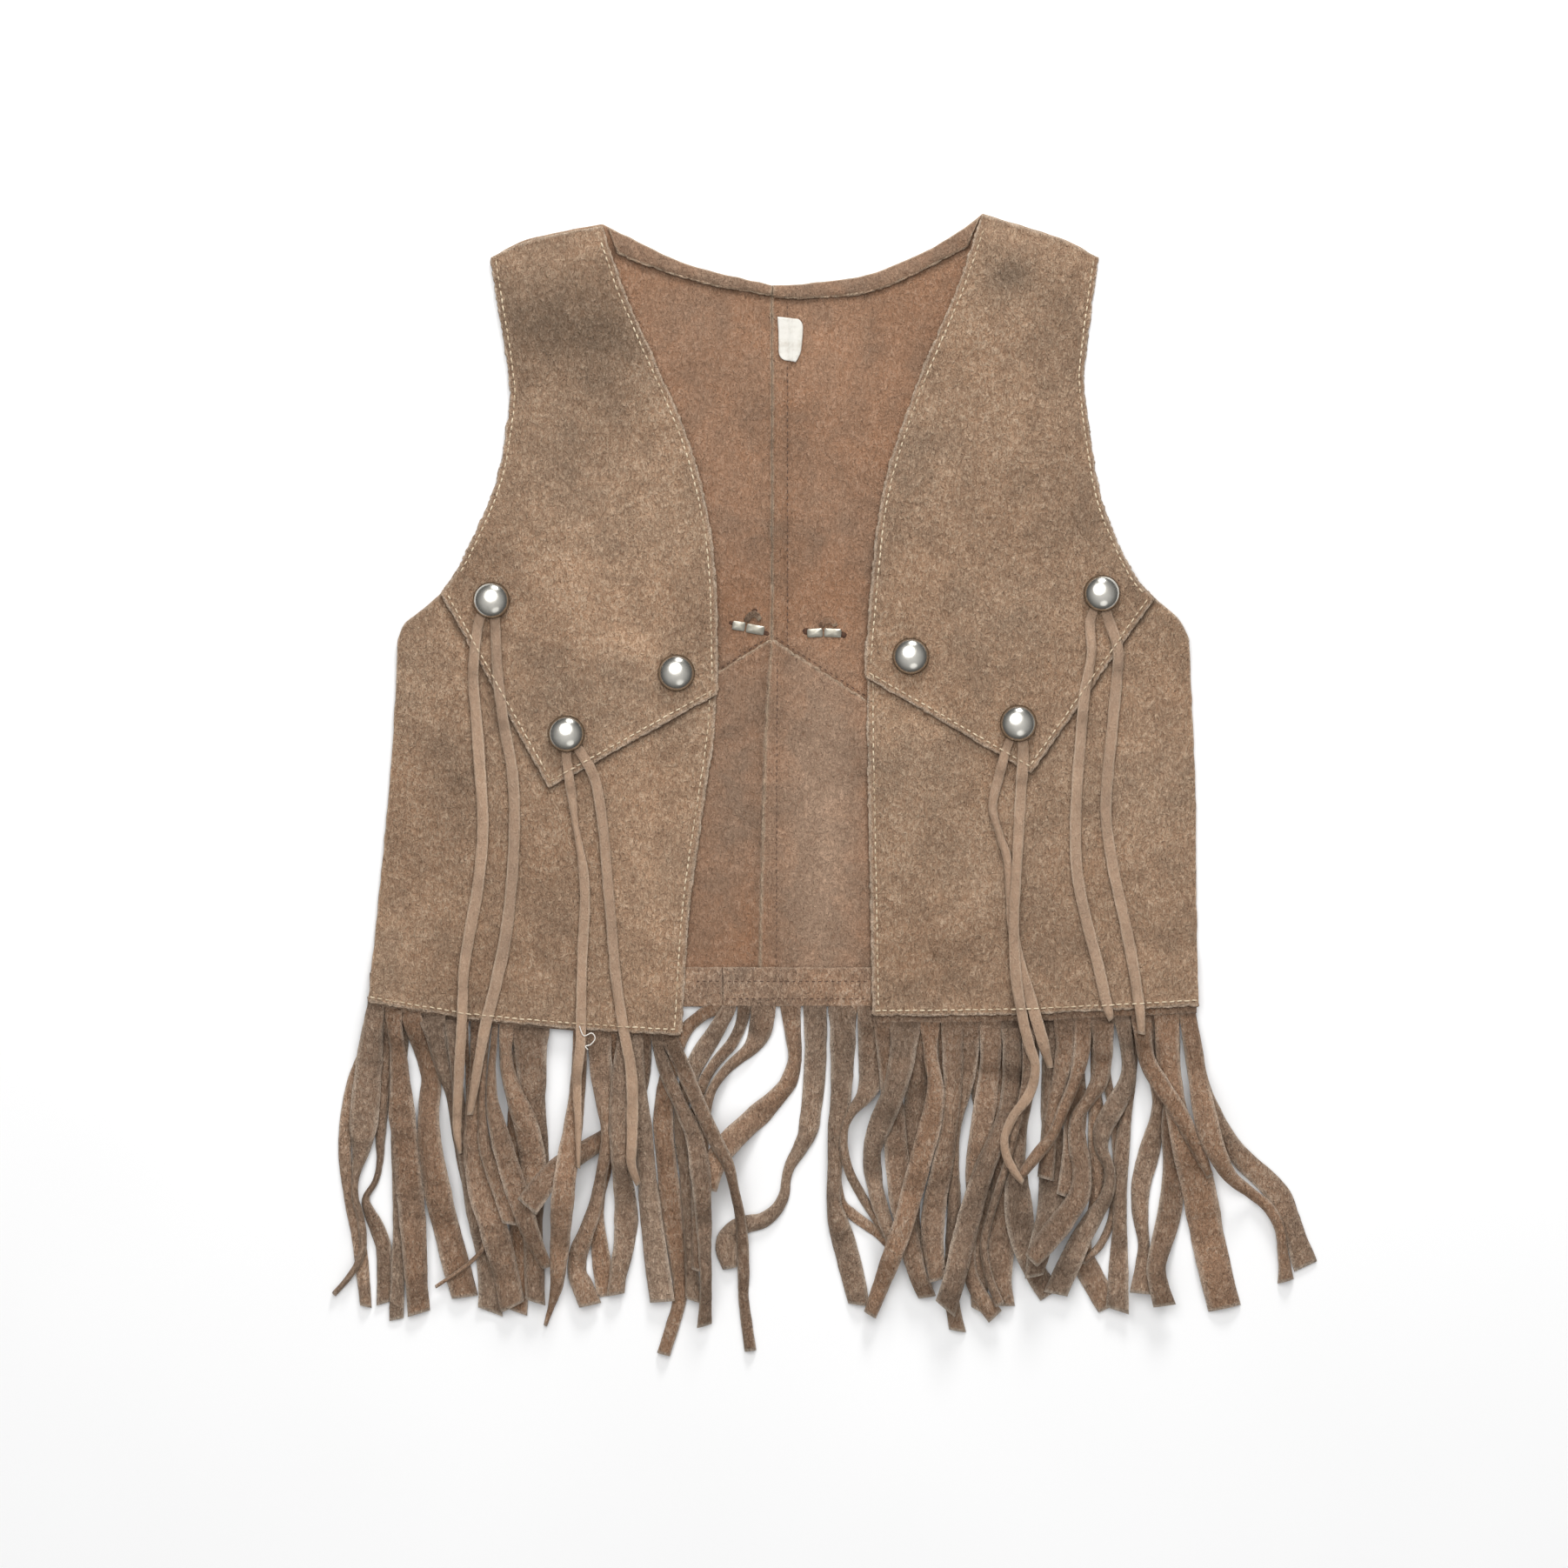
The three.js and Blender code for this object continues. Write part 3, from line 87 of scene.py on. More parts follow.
BACK_LEFT = {
    "shoulder": [[567, 296], [594, 280], [632, 269], [693, 258]],
    "neck": [[693, 258], [731, 277], [780, 300], [826, 314], [887.5, 328]],
    "armhole": [[567, 296], [574, 340], [588, 430], [588, 475], [572, 560], [532, 650], [499, 694]],
    "armholeLow": [[520, 668], [499, 694], [482, 708], [467, 720], [460, 735]],
    "side": [[460, 735], [452, 880], [438, 1030], [427, 1150]],
    "yokeEdge": [[499, 694], [645, 913], [887.5, 766]],
    "lowerEdge": [[520, 668], [652, 880], [887.5, 736]],
    "centreHigh": [[887.5, 328], [887.5, 766]],
    "centreLow": [[887.5, 736], [880, 850], [874, 1110], [874, 1150]],
    "hem": [[427, 1150], [640, 1151], [874, 1150]],
}
BACK_RIGHT = {
    "shoulder": [[1260, 296], [1222, 275], [1130, 246]],
    "neck": [[1130, 246], [1090, 275], [1040, 300], [994, 317], [918, 327], [888.5, 328]],
    "armhole": [[1260, 296], [1246, 400], [1244, 450], [1260, 560], [1280, 620], [1303, 666], [1334, 695]],
    "armholeLow": [[1315, 679], [1334, 695], [1353, 714], [1365, 735]],
    "side": [[1365, 735], [1372, 900], [1373, 1000], [1375, 1150]],
    "yokeEdge": [[1334, 695], [1130, 922], [888.5, 766]],
    "lowerEdge": [[1315, 679], [1126, 890], [888.5, 736]],
    "centreHigh": [[888.5, 328], [888.5, 766]],
    "centreLow": [[888.5, 736], [881, 850], [875, 1110], [875, 1150]],
    "hem": [[1375, 1150], [1100, 1151], [875, 1150]],
}
NECK_HEM_LEFT = {
    "top": [[699, 262], [731, 278], [780, 301], [826, 315], [887.5, 329]],
    "bottom": [[709, 290], [739, 303], [780, 317], [826, 329], [887.5, 340]],
}
NECK_HEM_RIGHT = {
    "top": [[1126, 251], [1090, 276], [1040, 301], [994, 318], [918, 328], [888.5, 329]],
    "bottom": [[1113, 283], [1084, 298], [1038, 321], [994, 337], [918, 343], [888.5, 341]],
}
BACKS = {"left": BACK_LEFT, "right": BACK_RIGHT}
FRONTS = {"left": FRONT_LEFT, "right": FRONT_RIGHT}
NECK_HEMS = {"left": NECK_HEM_LEFT, "right": NECK_HEM_RIGHT}

# The right half of the back is drawn a little to the left, which closes the centre seam
SEAM_CLOSE_PX = 0.85
for key in ("centreHigh", "centreLow"):
    BACK_RIGHT[key] = [[x - SEAM_CLOSE_PX, y] for x, y in BACK_RIGHT[key]]
for key in ("neck", "yokeEdge", "lowerEdge", "hem"):
    BACK_RIGHT[key][-1][0] -= SEAM_CLOSE_PX

# Strips that carry the fringe, in photo pixels for the back and millimetres for the fronts
BACK_STRIP = {"top": 1112, "bottom": 1157, "left": 429, "joint": 831, "right": 1373}
FRONT_STRIP = {"above": 16, "belowLeft": 1.5, "belowRight": 4.5, "inset": 1}

# Soft swells of the fronts. Rows: photo centre, turn in degrees, half sizes and height in millimetres
SWELLS = [
    (628, 392, 60, 26, 12, 1.1),
    (700, 560, 100, 60, 26, 1.3),
    (600, 610, 70, 40, 22, 0.9),
    (560, 960, 95, 70, 24, 1.0),
    (720, 1000, 100, 60, 22, 1.2),
    (1170, 330, 110, 30, 16, 1.0),
    (1130, 560, 80, 60, 26, 1.3),
    (1215, 600, 60, 36, 18, 0.8),
    (1128, 1045, 45, 46, 14, 1.6),
    (1290, 930, 95, 60, 24, 1.0),
]

# Strands and thongs: each is a run of photo x, photo y and width in pixels, from its root
BACK_STRANDS_LEFT = [
    [436, 1157, 14, 424, 1200, 14, 407, 1245, 16, 399, 1290, 16, 397, 1330, 15, 403, 1375, 15,
     412, 1420, 16, 417, 1460, 15, 421, 1502, 13],
    [450, 1157, 10, 446, 1200, 13, 442, 1250, 14, 438, 1300, 12, 437, 1335, 8, 432, 1358, 7, 421, 1377, 8,
     425, 1393, 13, 435, 1414, 18, 442, 1440, 18, 443, 1498, 19],
    [466, 1157, 12, 461, 1230, 13, 457, 1300, 14, 458, 1365, 13, 459, 1415, 14, 458, 1460, 16,
     456, 1517, 17],
    [602, 1157, 18, 599, 1215, 18, 594, 1270, 18, 592, 1330, 20, 597, 1400, 22, 597, 1450, 24,
     594, 1508, 26],
    [823, 1157, 13, 806, 1168, 13, 785, 1190, 15, 768, 1240, 20, 763, 1290, 23, 767, 1340, 24,
     773, 1395, 25, 779, 1445, 20, 782, 1490, 16, 773, 1525, 15, 763, 1557, 15],
]
BACK_STRANDS_RIGHT = [
    [839, 1157, 13, 829, 1175, 16, 819, 1192, 19, 806, 1212, 21, 794, 1236, 20, 784, 1270, 16,
     783, 1310, 14, 788, 1350, 13, 791, 1400, 13, 794, 1440, 14, 798, 1495, 19],
    [856, 1157, 12, 852, 1178, 12, 842, 1199, 13, 830, 1213, 12, 818, 1228, 12, 808, 1246, 12,
     800, 1275, 12, 797, 1310, 12, 799, 1345, 12],
    [878, 1157, 22, 874, 1185, 23, 864, 1204, 17, 848, 1218, 13, 833, 1232, 11, 820, 1250, 10,
     813, 1270, 12, 808, 1300, 16, 805, 1340, 18, 806, 1380, 20, 804, 1460, 18],
    [909, 1157, 19, 912, 1190, 16, 914, 1217, 15, 907, 1243, 19, 895, 1259, 21, 875, 1279, 26,
     857, 1295, 27, 840, 1311, 28, 824, 1332, 26, 814, 1366, 22],
    [937, 1157, 22, 938, 1195, 24, 937, 1230, 24, 934, 1265, 25, 929, 1300, 22, 920, 1320, 18,
     908, 1341, 13, 904, 1357, 11, 902, 1372, 12, 893, 1390, 14, 877, 1403, 18, 860, 1407, 20,
     845, 1414, 22, 836, 1432, 27, 840, 1458, 18],
    [983, 1157, 4, 980, 1190, 6, 975, 1225, 10, 967, 1280, 10, 962, 1340, 10, 966, 1380, 12, 980, 1396, 13,
     996, 1408, 13, 1010, 1418, 12, 1024, 1432, 11],
    [967, 1157, 24, 969, 1190, 27, 968, 1235, 25, 966, 1270, 24, 962, 1300, 20, 960, 1340, 17,
     959, 1380, 17, 963, 1402, 22, 971, 1430, 27, 980, 1465, 27, 988, 1500, 25],
    [998, 1157, 20, 1000, 1190, 24, 1002, 1218, 29, 1001, 1243, 27, 992, 1262, 18, 979, 1277, 12,
     971, 1296, 9, 970, 1320, 10, 976, 1345, 11, 986, 1366, 11, 1000, 1390, 10, 1019, 1419, 9],
    [1058, 1157, 22, 1057, 1210, 24, 1054, 1260, 26, 1048, 1310, 28, 1044, 1360, 26, 1045, 1402, 26,
     1052, 1445, 22],
    [1086, 1157, 18, 1087, 1210, 20, 1090, 1260, 20, 1088, 1320, 20, 1080, 1370, 22, 1072, 1410, 24,
     1070, 1455, 22],
    [1122, 1157, 14, 1123, 1230, 16, 1131, 1300, 18, 1132, 1360, 20, 1130, 1410, 24, 1127, 1465, 22,
     1124, 1506, 15],
    [1148, 1157, 18, 1148, 1230, 18, 1146, 1300, 18, 1149, 1350, 18, 1151, 1395, 26, 1150, 1440, 30,
     1150, 1475, 26, 1155, 1501, 22],
    [1186, 1157, 20, 1184, 1230, 18, 1174, 1290, 16, 1168, 1335, 22, 1170, 1385, 32, 1176, 1425, 30,
     1190, 1462, 26, 1208, 1488, 28],
    [1212, 1157, 18, 1207, 1230, 18, 1209, 1290, 24, 1212, 1350, 34, 1206, 1400, 32, 1194, 1436, 26,
     1188, 1466, 20],
    [1237, 1157, 18, 1237, 1225, 20, 1236, 1280, 26, 1231, 1335, 22, 1222, 1374, 18],
    [1259, 1157, 10, 1259, 1232, 10, 1261, 1300, 20, 1262, 1350, 18, 1256, 1395, 12, 1246, 1430, 18,
     1250, 1458, 27, 1276, 1503, 28],
    [1275, 1157, 10, 1272, 1230, 10, 1282, 1290, 12, 1285, 1345, 11, 1281, 1385, 10, 1277, 1405, 9,
     1264, 1432, 9, 1243, 1451, 8],
    [1297, 1157, 16, 1299, 1230, 16, 1294, 1280, 14, 1289, 1330, 17, 1287, 1380, 16, 1287, 1410, 16,
     1286, 1450, 22, 1284, 1506, 26],
    [1320, 1157, 16, 1320, 1210, 16, 1330, 1250, 14, 1331, 1280, 15, 1321, 1325, 24, 1312, 1362, 22,
     1311, 1395, 18, 1315, 1430, 13, 1313, 1458, 18, 1311, 1486, 26],
    [1345, 1157, 16, 1350, 1230, 14, 1343, 1290, 17, 1346, 1335, 18, 1347, 1375, 27, 1342, 1405, 27,
     1334, 1432, 24, 1328, 1455, 22, 1331, 1477, 24, 1338, 1500, 26],
    [1366, 1157, 12, 1374, 1205, 14, 1382, 1250, 18, 1396, 1285, 22, 1412, 1312, 22, 1432, 1336, 24,
     1456, 1358, 26, 1472, 1377, 27, 1481, 1398, 24, 1489, 1420, 24, 1501, 1456, 29],
]
FRONT_STRANDS_LEFT = [
    [433, 1157, 16, 428, 1195, 24, 423, 1245, 32, 419, 1290, 32, 416, 1320, 22, 410, 1350, 9, 409, 1375, 8,
     415, 1400, 9, 418, 1430, 9, 412, 1452, 8, 400, 1470, 7, 384, 1488, 6],
    [453, 1160, 16, 456, 1190, 15, 459, 1215, 18, 461, 1245, 24, 463, 1280, 31, 466, 1305, 31,
     469, 1340, 32, 474, 1390, 32, 477, 1427, 29, 479, 1465, 26, 482, 1510, 25],
    [473, 1163, 18, 480, 1185, 20, 489, 1208, 23, 496, 1240, 23, 494, 1272, 24, 495, 1310, 27,
     501, 1350, 30, 509, 1392, 31, 520, 1437, 31, 535, 1491, 30],
    [498, 1166, 24, 504, 1195, 22, 510, 1225, 18, 520, 1258, 14, 525, 1290, 14, 531, 1325, 14,
     538, 1360, 14, 547, 1400, 12],
    [522, 1170, 16, 526, 1230, 13, 531, 1290, 16, 539, 1340, 19, 548, 1390, 23, 557, 1425, 26,
     563, 1460, 27, 564, 1508, 27],
    [536, 1172, 6, 538, 1230, 5, 541, 1290, 6, 547, 1350, 8, 556, 1400, 8, 557, 1432, 6, 535, 1456, 5,
     501, 1479, 4],
    [549, 1175, 12, 546, 1230, 12, 545, 1280, 18, 548, 1325, 28, 556, 1365, 32, 566, 1400, 32,
     577, 1440, 31, 590, 1502, 29],
    [561, 1177, 7, 557, 1230, 8, 556, 1270, 9, 559, 1312, 15, 570, 1347, 19, 584, 1385, 20, 589, 1405, 18],
    [610, 1181, 34, 612, 1235, 32, 614, 1280, 28, 619, 1320, 24, 619, 1360, 22, 613, 1400, 22,
     614, 1440, 24, 616, 1496, 23],
    [583, 1180, 13, 583, 1220, 14, 592, 1255, 20, 605, 1290, 28, 613, 1330, 30, 613, 1352, 28,
     613, 1375, 24],
    [570, 1178, 6, 567, 1230, 9, 568, 1265, 14, 576, 1300, 21, 589, 1345, 26, 602, 1385, 24, 616, 1425, 19,
     630, 1456, 12],
    [744, 1190, 8, 738, 1235, 18, 725, 1275, 20, 703, 1303, 21, 680, 1318, 22, 655, 1333, 25, 632, 1352, 27,
     608, 1384, 28],
    [732, 1190, 12, 733, 1240, 18, 739, 1290, 20, 744, 1350, 22, 749, 1400, 25, 754, 1440, 27,
     762, 1496, 28],
    [706, 1190, 7, 706, 1240, 12, 704, 1300, 12, 698, 1345, 10, 691, 1375, 10, 688, 1405, 14, 690, 1435, 20,
     694, 1465, 22, 698, 1490, 24],
    [689, 1188, 22, 692, 1230, 24, 697, 1270, 20, 700, 1305, 16, 693, 1345, 14, 685, 1385, 16,
     675, 1415, 19, 665, 1442, 21, 664, 1464, 22, 670, 1478, 25, 679, 1500, 26],
    [668, 1186, 14, 666, 1230, 16, 662, 1275, 19, 657, 1315, 24, 651, 1355, 26, 647, 1400, 25,
     644, 1440, 21, 641, 1475, 16, 634, 1502, 8, 627, 1524, 4],
    [718, 1190, 12, 714, 1240, 20, 712, 1290, 22, 714, 1335, 20, 719, 1375, 25, 720, 1405, 27,
     717, 1435, 24, 711, 1465, 20, 708, 1488, 20],
    [755, 1192, 10, 766, 1232, 15, 782, 1268, 16, 798, 1303, 20, 806, 1345, 23, 809, 1390, 19,
     811, 1440, 15, 812, 1480, 14, 810, 1524, 16],
    [770, 1192, 15, 787, 1230, 17, 804, 1268, 17, 821, 1305, 17, 837, 1335, 14, 844, 1362, 11,
     851, 1397, 12, 854, 1430, 14, 855, 1465, 13, 855, 1492, 12, 859, 1525, 13, 863, 1553, 13],
]
FRONT_STRANDS_RIGHT = [
    [1016, 1178, 18, 1021, 1220, 22, 1027, 1280, 26, 1031, 1330, 28, 1037, 1380, 28, 1044, 1420, 24,
     1053, 1458, 22, 1066, 1491, 20],
    [1041, 1178, 28, 1036, 1220, 28, 1027, 1255, 27, 1013, 1290, 26, 1003, 1320, 22, 1004, 1350, 20,
     1010, 1380, 18, 1020, 1410, 16, 1027, 1431, 12],
    [1116, 1176, 20, 1113, 1220, 20, 1107, 1255, 18, 1098, 1295, 13, 1096, 1335, 13, 1097, 1380, 15,
     1095, 1430, 16, 1093, 1475, 16, 1096, 1505, 17, 1101, 1530, 18],
    [1094, 1177, 20, 1095, 1240, 22, 1091, 1290, 20, 1083, 1340, 24, 1075, 1380, 26, 1072, 1420, 26,
     1077, 1470, 18],
    [1069, 1178, 18, 1070, 1215, 15, 1075, 1250, 18, 1070, 1287, 24, 1060, 1325, 26, 1050, 1363, 25,
     1040, 1400, 24, 1026, 1440, 23, 1013, 1477, 19, 1000, 1511, 16],
    [1139, 1176, 21, 1138, 1222, 23, 1133, 1262, 25, 1127, 1300, 25, 1121, 1340, 22, 1119, 1390, 18,
     1113, 1435, 16, 1116, 1465, 16, 1126, 1488, 19, 1144, 1513, 20],
    [1162, 1176, 19, 1163, 1225, 21, 1159, 1270, 21, 1145, 1308, 20, 1130, 1345, 24, 1117, 1388, 27,
     1106, 1428, 26, 1097, 1465, 25, 1086, 1503, 27],
    [1181, 1175, 13, 1180, 1240, 12, 1168, 1290, 10, 1157, 1335, 9, 1146, 1370, 9, 1136, 1405, 9,
     1131, 1435, 9, 1137, 1468, 10, 1149, 1499, 12],
    [1224, 1174, 20, 1224, 1208, 20, 1217, 1245, 17, 1209, 1280, 16, 1205, 1320, 17, 1202, 1355, 20],
    [1245, 1172, 16, 1243, 1208, 17, 1235, 1242, 14, 1221, 1275, 13, 1210, 1302, 13, 1195, 1322, 14,
     1180, 1340, 12, 1171, 1353, 9],
    [1267, 1171, 20, 1267, 1205, 22, 1264, 1240, 20, 1251, 1264, 15, 1238, 1284, 16, 1238, 1312, 22,
     1243, 1345, 22, 1239, 1374, 25, 1220, 1402, 27, 1201, 1426, 27, 1184, 1447, 20],
    [1289, 1170, 15, 1296, 1212, 14, 1296, 1240, 18, 1283, 1268, 23, 1268, 1296, 22, 1266, 1320, 16,
     1275, 1345, 13, 1272, 1373, 15, 1256, 1400, 20, 1240, 1428, 24, 1227, 1456, 26, 1213, 1487, 27],
    [1341, 1169, 24, 1342, 1215, 26, 1347, 1253, 24, 1354, 1288, 27, 1364, 1322, 33, 1375, 1355, 39,
     1382, 1390, 39, 1390, 1430, 38, 1399, 1470, 37, 1408, 1504, 37],
    [1311, 1169, 18, 1317, 1215, 18, 1331, 1243, 20, 1347, 1267, 20, 1361, 1292, 19, 1376, 1322, 15,
     1390, 1352, 9],
    [1365, 1168, 15, 1371, 1205, 20, 1377, 1245, 22, 1384, 1285, 26, 1394, 1318, 24, 1412, 1350, 17,
     1436, 1370, 13, 1457, 1387, 13, 1470, 1410, 12, 1474, 1435, 12, 1477, 1458, 15, 1478, 1473, 19],
]
THONGS = {
    "left_outer": [
        [566, 694, 8, 552, 714, 11, 545, 774, 12, 549, 832, 13, 553, 890, 13, 556, 952, 13, 551, 1015, 13,
         540, 1077, 13, 534, 1118, 12, 533, 1168, 12, 531, 1210, 12, 528, 1260, 11, 527, 1300, 10,
         531, 1325, 4],
        [568, 694, 8, 570, 714, 11, 573, 774, 12, 580, 832, 13, 590, 890, 13, 592, 952, 13, 589, 1015, 13,
         582, 1077, 14, 571, 1131, 14, 559, 1180, 13, 549, 1238, 11, 542, 1280, 7],
    ],
    "left_lower": [
        [652, 847, 8, 652, 870, 11, 658, 915, 11, 663, 952, 7, 671, 998, 11, 673, 1040, 12, 670, 1098, 12,
         669, 1147, 12, 668, 1201, 12, 664, 1240, 11, 666, 1290, 8, 667, 1340, 4],
        [655, 847, 8, 670, 868, 11, 685, 898, 12, 694, 952, 12, 698, 998, 12, 703, 1056, 12, 708, 1118, 12,
         717, 1180, 12, 727, 1234, 13, 728, 1300, 13, 727, 1335, 11, 735, 1360, 7],
    ],
    "right_lower": [
        [1168, 837, 8, 1157, 860, 10, 1149, 890, 11, 1141, 927, 10, 1149, 961, 9, 1158, 990, 10,
         1163, 1060, 11, 1170, 1098, 12, 1186, 1155, 14, 1198, 1197, 13, 1207, 1227, 7],
        [1171, 837, 8, 1176, 860, 12, 1174, 898, 13, 1171, 952, 12, 1167, 1015, 12, 1165, 1056, 12,
         1167, 1118, 13, 1174, 1165, 12, 1182, 1200, 12, 1189, 1225, 11, 1183, 1255, 12, 1165, 1280, 11,
         1154, 1305, 10, 1156, 1327, 10, 1166, 1346, 9, 1175, 1357, 6],
    ],
    "right_outer": [
        [1264, 688, 8, 1253, 714, 11, 1254, 753, 11, 1246, 799, 12, 1242, 849, 13, 1238, 898, 13,
         1236, 952, 13, 1238, 1006, 13, 1248, 1056, 13, 1261, 1106, 13, 1271, 1151, 12, 1277, 1172, 7],
        [1267, 688, 8, 1273, 710, 11, 1284, 745, 12, 1284, 774, 12, 1279, 828, 13, 1273, 890, 13,
         1271, 940, 13, 1279, 998, 13, 1290, 1048, 13, 1300, 1098, 13, 1308, 1151, 12, 1311, 1188, 8],
    ],
}

# Centres of the studs in the photo
STUDS = {
    "left_outer": (566, 691),
    "left_inner": (778, 774),
    "left_lower": (652, 844),
    "right_inner": (1047, 755),
    "right_lower": (1170, 832),
    "right_outer": (1266, 683),
}

# Prongs and slits. Rows: name, photo centre, length and width in pixels, tilt in degrees
PRONGS = [
    ("prong_left_a", 849.5, 720, 15, 10.5, -8),
    ("prong_left_b", 868.5, 724, 21, 10.5, -10),
    ("prong_right_a", 937, 728, 18, 10, 3),
    ("prong_right_b", 957.5, 728, 20, 10, -3),
]

# Slits in the hide that the prongs and loops come through, as thin leaves under their ends, painted dark for
# the shade inside a slit
SLITS = [
    ("slit_left_a", 842, 717, 8, 4, -20),
    ("slit_left_b", 880, 728, 9, 5, -20),
    ("slit_right_a", 927, 726, 8, 8, 20),
    ("slit_right_b", 969, 730, 9, 7, -20),
    ("slit_loop_left", 868, 703, 7, 6, 0),
    ("slit_loop_right", 953, 713, 6, 4, 0),
]

# Lace loops above the prongs, as runs like the strands'
LOOPS = {
    "loop_left": [858, 715, 5, 862, 708, 6, 869, 706, 6, 874, 713, 5],
    "loop_right": [944, 720, 5, 948, 715, 6, 956, 714, 6, 961, 720, 5],
}

LABEL = {
    "top": [[894, 365], [918, 367]],
    "bottom": [[902, 415], [915, 417]],
    "left": [[894, 365], [896, 406], [902, 415]],
    "right": [[918, 367], [923, 376], [921, 404], [915, 417]],
}

# Creases. Rows: height (below zero for a trough) and half width in millimetres, photo points
FRONT_CREASES = [
    (-0.9, 1.3, (614, 381), (606, 393), (597, 409)),
    (0.8, 2.4, (620, 384), (612, 396), (604, 411)),
    (-0.5, 1.6, (652, 352), (662, 341), (668, 330)),
    (-0.8, 9, (575, 388), (640, 410), (705, 402), (748, 418)),
    (0.7, 9, (598, 345), (650, 372), (700, 352)),
    (-0.5, 10, (588, 505), (650, 540), (720, 520), (770, 545)),
    (0.5, 11, (600, 590), (660, 612), (716, 598)),
    (0.5, 9, (690, 450), (706, 520), (700, 600)),
    (-0.6, 6, (560, 665), (590, 735), (636, 800)),
    (0.5, 9, (610, 700), (668, 765), (700, 800)),
    (-0.8, 2.2, (524, 700), (538, 742), (552, 775)),
    (-0.7, 8, (500, 760), (512, 850), (500, 960)),
    (-0.7, 8, (610, 930), (620, 1010), (608, 1100)),
    (0.6, 7, (640, 905), (652, 1000), (660, 1090)),
    (0.6, 11, (718, 905), (748, 980), (740, 1090)),
    (-0.5, 8, (478, 1050), (520, 1100), (580, 1110)),
    (0.7, 8, (1190, 300), (1172, 340), (1180, 390)),
    (-0.6, 10, (1100, 400), (1150, 420), (1225, 405)),
    (0.5, 11, (1080, 500), (1130, 520), (1200, 500)),
    (-0.5, 11, (1050, 610), (1100, 650), (1160, 640)),
    (-0.6, 8, (1225, 500), (1216, 580), (1240, 660)),
    (0.5, 8, (1020, 640), (1026, 700), (1060, 720)),
    (1.0, 8, (1086, 1100), (1126, 1040), (1178, 1000)),
    (-0.7, 8, (1070, 1070), (1110, 1010), (1160, 965)),
    (0.5, 9, (1020, 1020), (1050, 960), (1100, 900)),
    (-0.7, 8, (1320, 760), (1330, 860), (1318, 980)),
    (0.6, 7, (1336, 1000), (1330, 1070), (1340, 1130)),
    (-0.5, 8, (1215, 940), (1206, 1020), (1222, 1100)),
]

BACK_CREASES = [
    (0.7, 9, (760, 300), (800, 380), (850, 460)),
    (-0.4, 7, (845, 330), (860, 420), (850, 560)),
    (0.7, 10, (1060, 320), (1010, 400), (930, 470)),
    (0.6, 8, (985, 480), (950, 560), (925, 640)),
    (-0.4, 9, (925, 470), (940, 540), (980, 600)),
    (0.5, 6, (835, 600), (852, 660), (846, 700)),
    (0.8, 5, (930, 735), (955, 742), (975, 738)),
    (0.6, 4, (838, 735), (858, 742), (876, 738)),
    (0.6, 5, (868, 860), (862, 960), (866, 1090)),
    (-0.4, 5, (848, 900), (846, 1000), (840, 1090)),
    (0.5, 10, (950, 860), (960, 960), (950, 1080)),
]

# Patches of the hide. Rows: photo centre, half sizes in pixels, shade (below zero is darker), warmth
FRONT_PATCHES = [
    (665, 375, 110, 62, -0.32, -0.35),
    (600, 330, 50, 34, 0.05, -0.1),
    (720, 440, 46, 60, -0.14, -0.15),
    (640, 520, 70, 60, -0.02, -0.05),
    (700, 640, 80, 70, 0.12, 0.05),
    (560, 640, 40, 60, -0.14, -0.1),
    (725, 735, 44, 22, 0.3, 0.0),
    (520, 900, 46, 90, -0.12, -0.05),
    (470, 780, 26, 60, 0.06, -0.05),
    (640, 1000, 60, 90, -0.04, 0.3),
    (745, 1000, 46, 130, 0.22, 0.2),
    (450, 1080, 30, 60, 0.1, 0.0),
    (560, 1120, 90, 34, -0.08, 0.15),
    (1160, 318, 26, 22, -0.3, -0.4),
    (1210, 360, 40, 60, -0.08, -0.1),
    (1110, 420, 50, 60, -0.06, 0.1),
    (1160, 560, 100, 90, -0.06, -0.05),
    (1060, 640, 50, 70, 0.02, 0.15),
    (1250, 620, 34, 50, -0.12, -0.1),
    (1050, 835, 40, 24, 0.26, 0.0),
    (1100, 960, 80, 60, 0.0, -0.05),
    (1060, 1090, 60, 40, -0.06, 0.1),
    (1320, 900, 50, 110, 0.08, -0.05),
    (1230, 1080, 60, 60, -0.06, 0.05),
    (1345, 740, 34, 30, -0.12, 0.0),
]
BACK_PATCHES = [
    (800, 360, 46, 40, 0.06, -0.25),
    (850, 560, 40, 110, 0.02, 0.1),
    (940, 420, 50, 50, 0.1, 0.1),
    (905, 600, 24, 120, -0.08, 0.15),
    (960, 690, 40, 60, -0.04, 0.3),
    (850, 700, 30, 40, -0.08, 0.3),
    (945, 950, 46, 200, 0.22, -0.75),
    (845, 900, 36, 110, -0.05, -0.6),
    (862, 1060, 16, 60, 0.02, 0.3),
    (920, 1135, 90, 20, -0.02, -0.2),
]


def clamp01(value):
    return np.clip(value, 0, 1)


def soft_step(value):
    """Smooth climb from 0 to 1"""
    share = clamp01(value)
    return share * share * (3 - 2 * share)


def to_x(px):
    return (px - ORIGIN_PX[0]) * MM_PER_PX


def to_y(px):
    return (ORIGIN_PX[1] - px) * MM_PER_PX


def to_mm(rows):
    """Photo pixels to millimetres. A third column is a width."""
    points = np.array(rows, float)
    points[:, 0] = to_x(points[:, 0])
    points[:, 1] = to_y(points[:, 1])
    points[:, 2:] *= MM_PER_PX
    return points


def in_threes(numbers):
    """Rows of photo x, photo y and width"""
    return np.reshape(numbers, (-1, 3))


# Seeded smooth noise from -1 to 1, with features of a given size in millimetres
HASH_FACTORS = (127.1, 311.7, 74.7, 43758.5453)


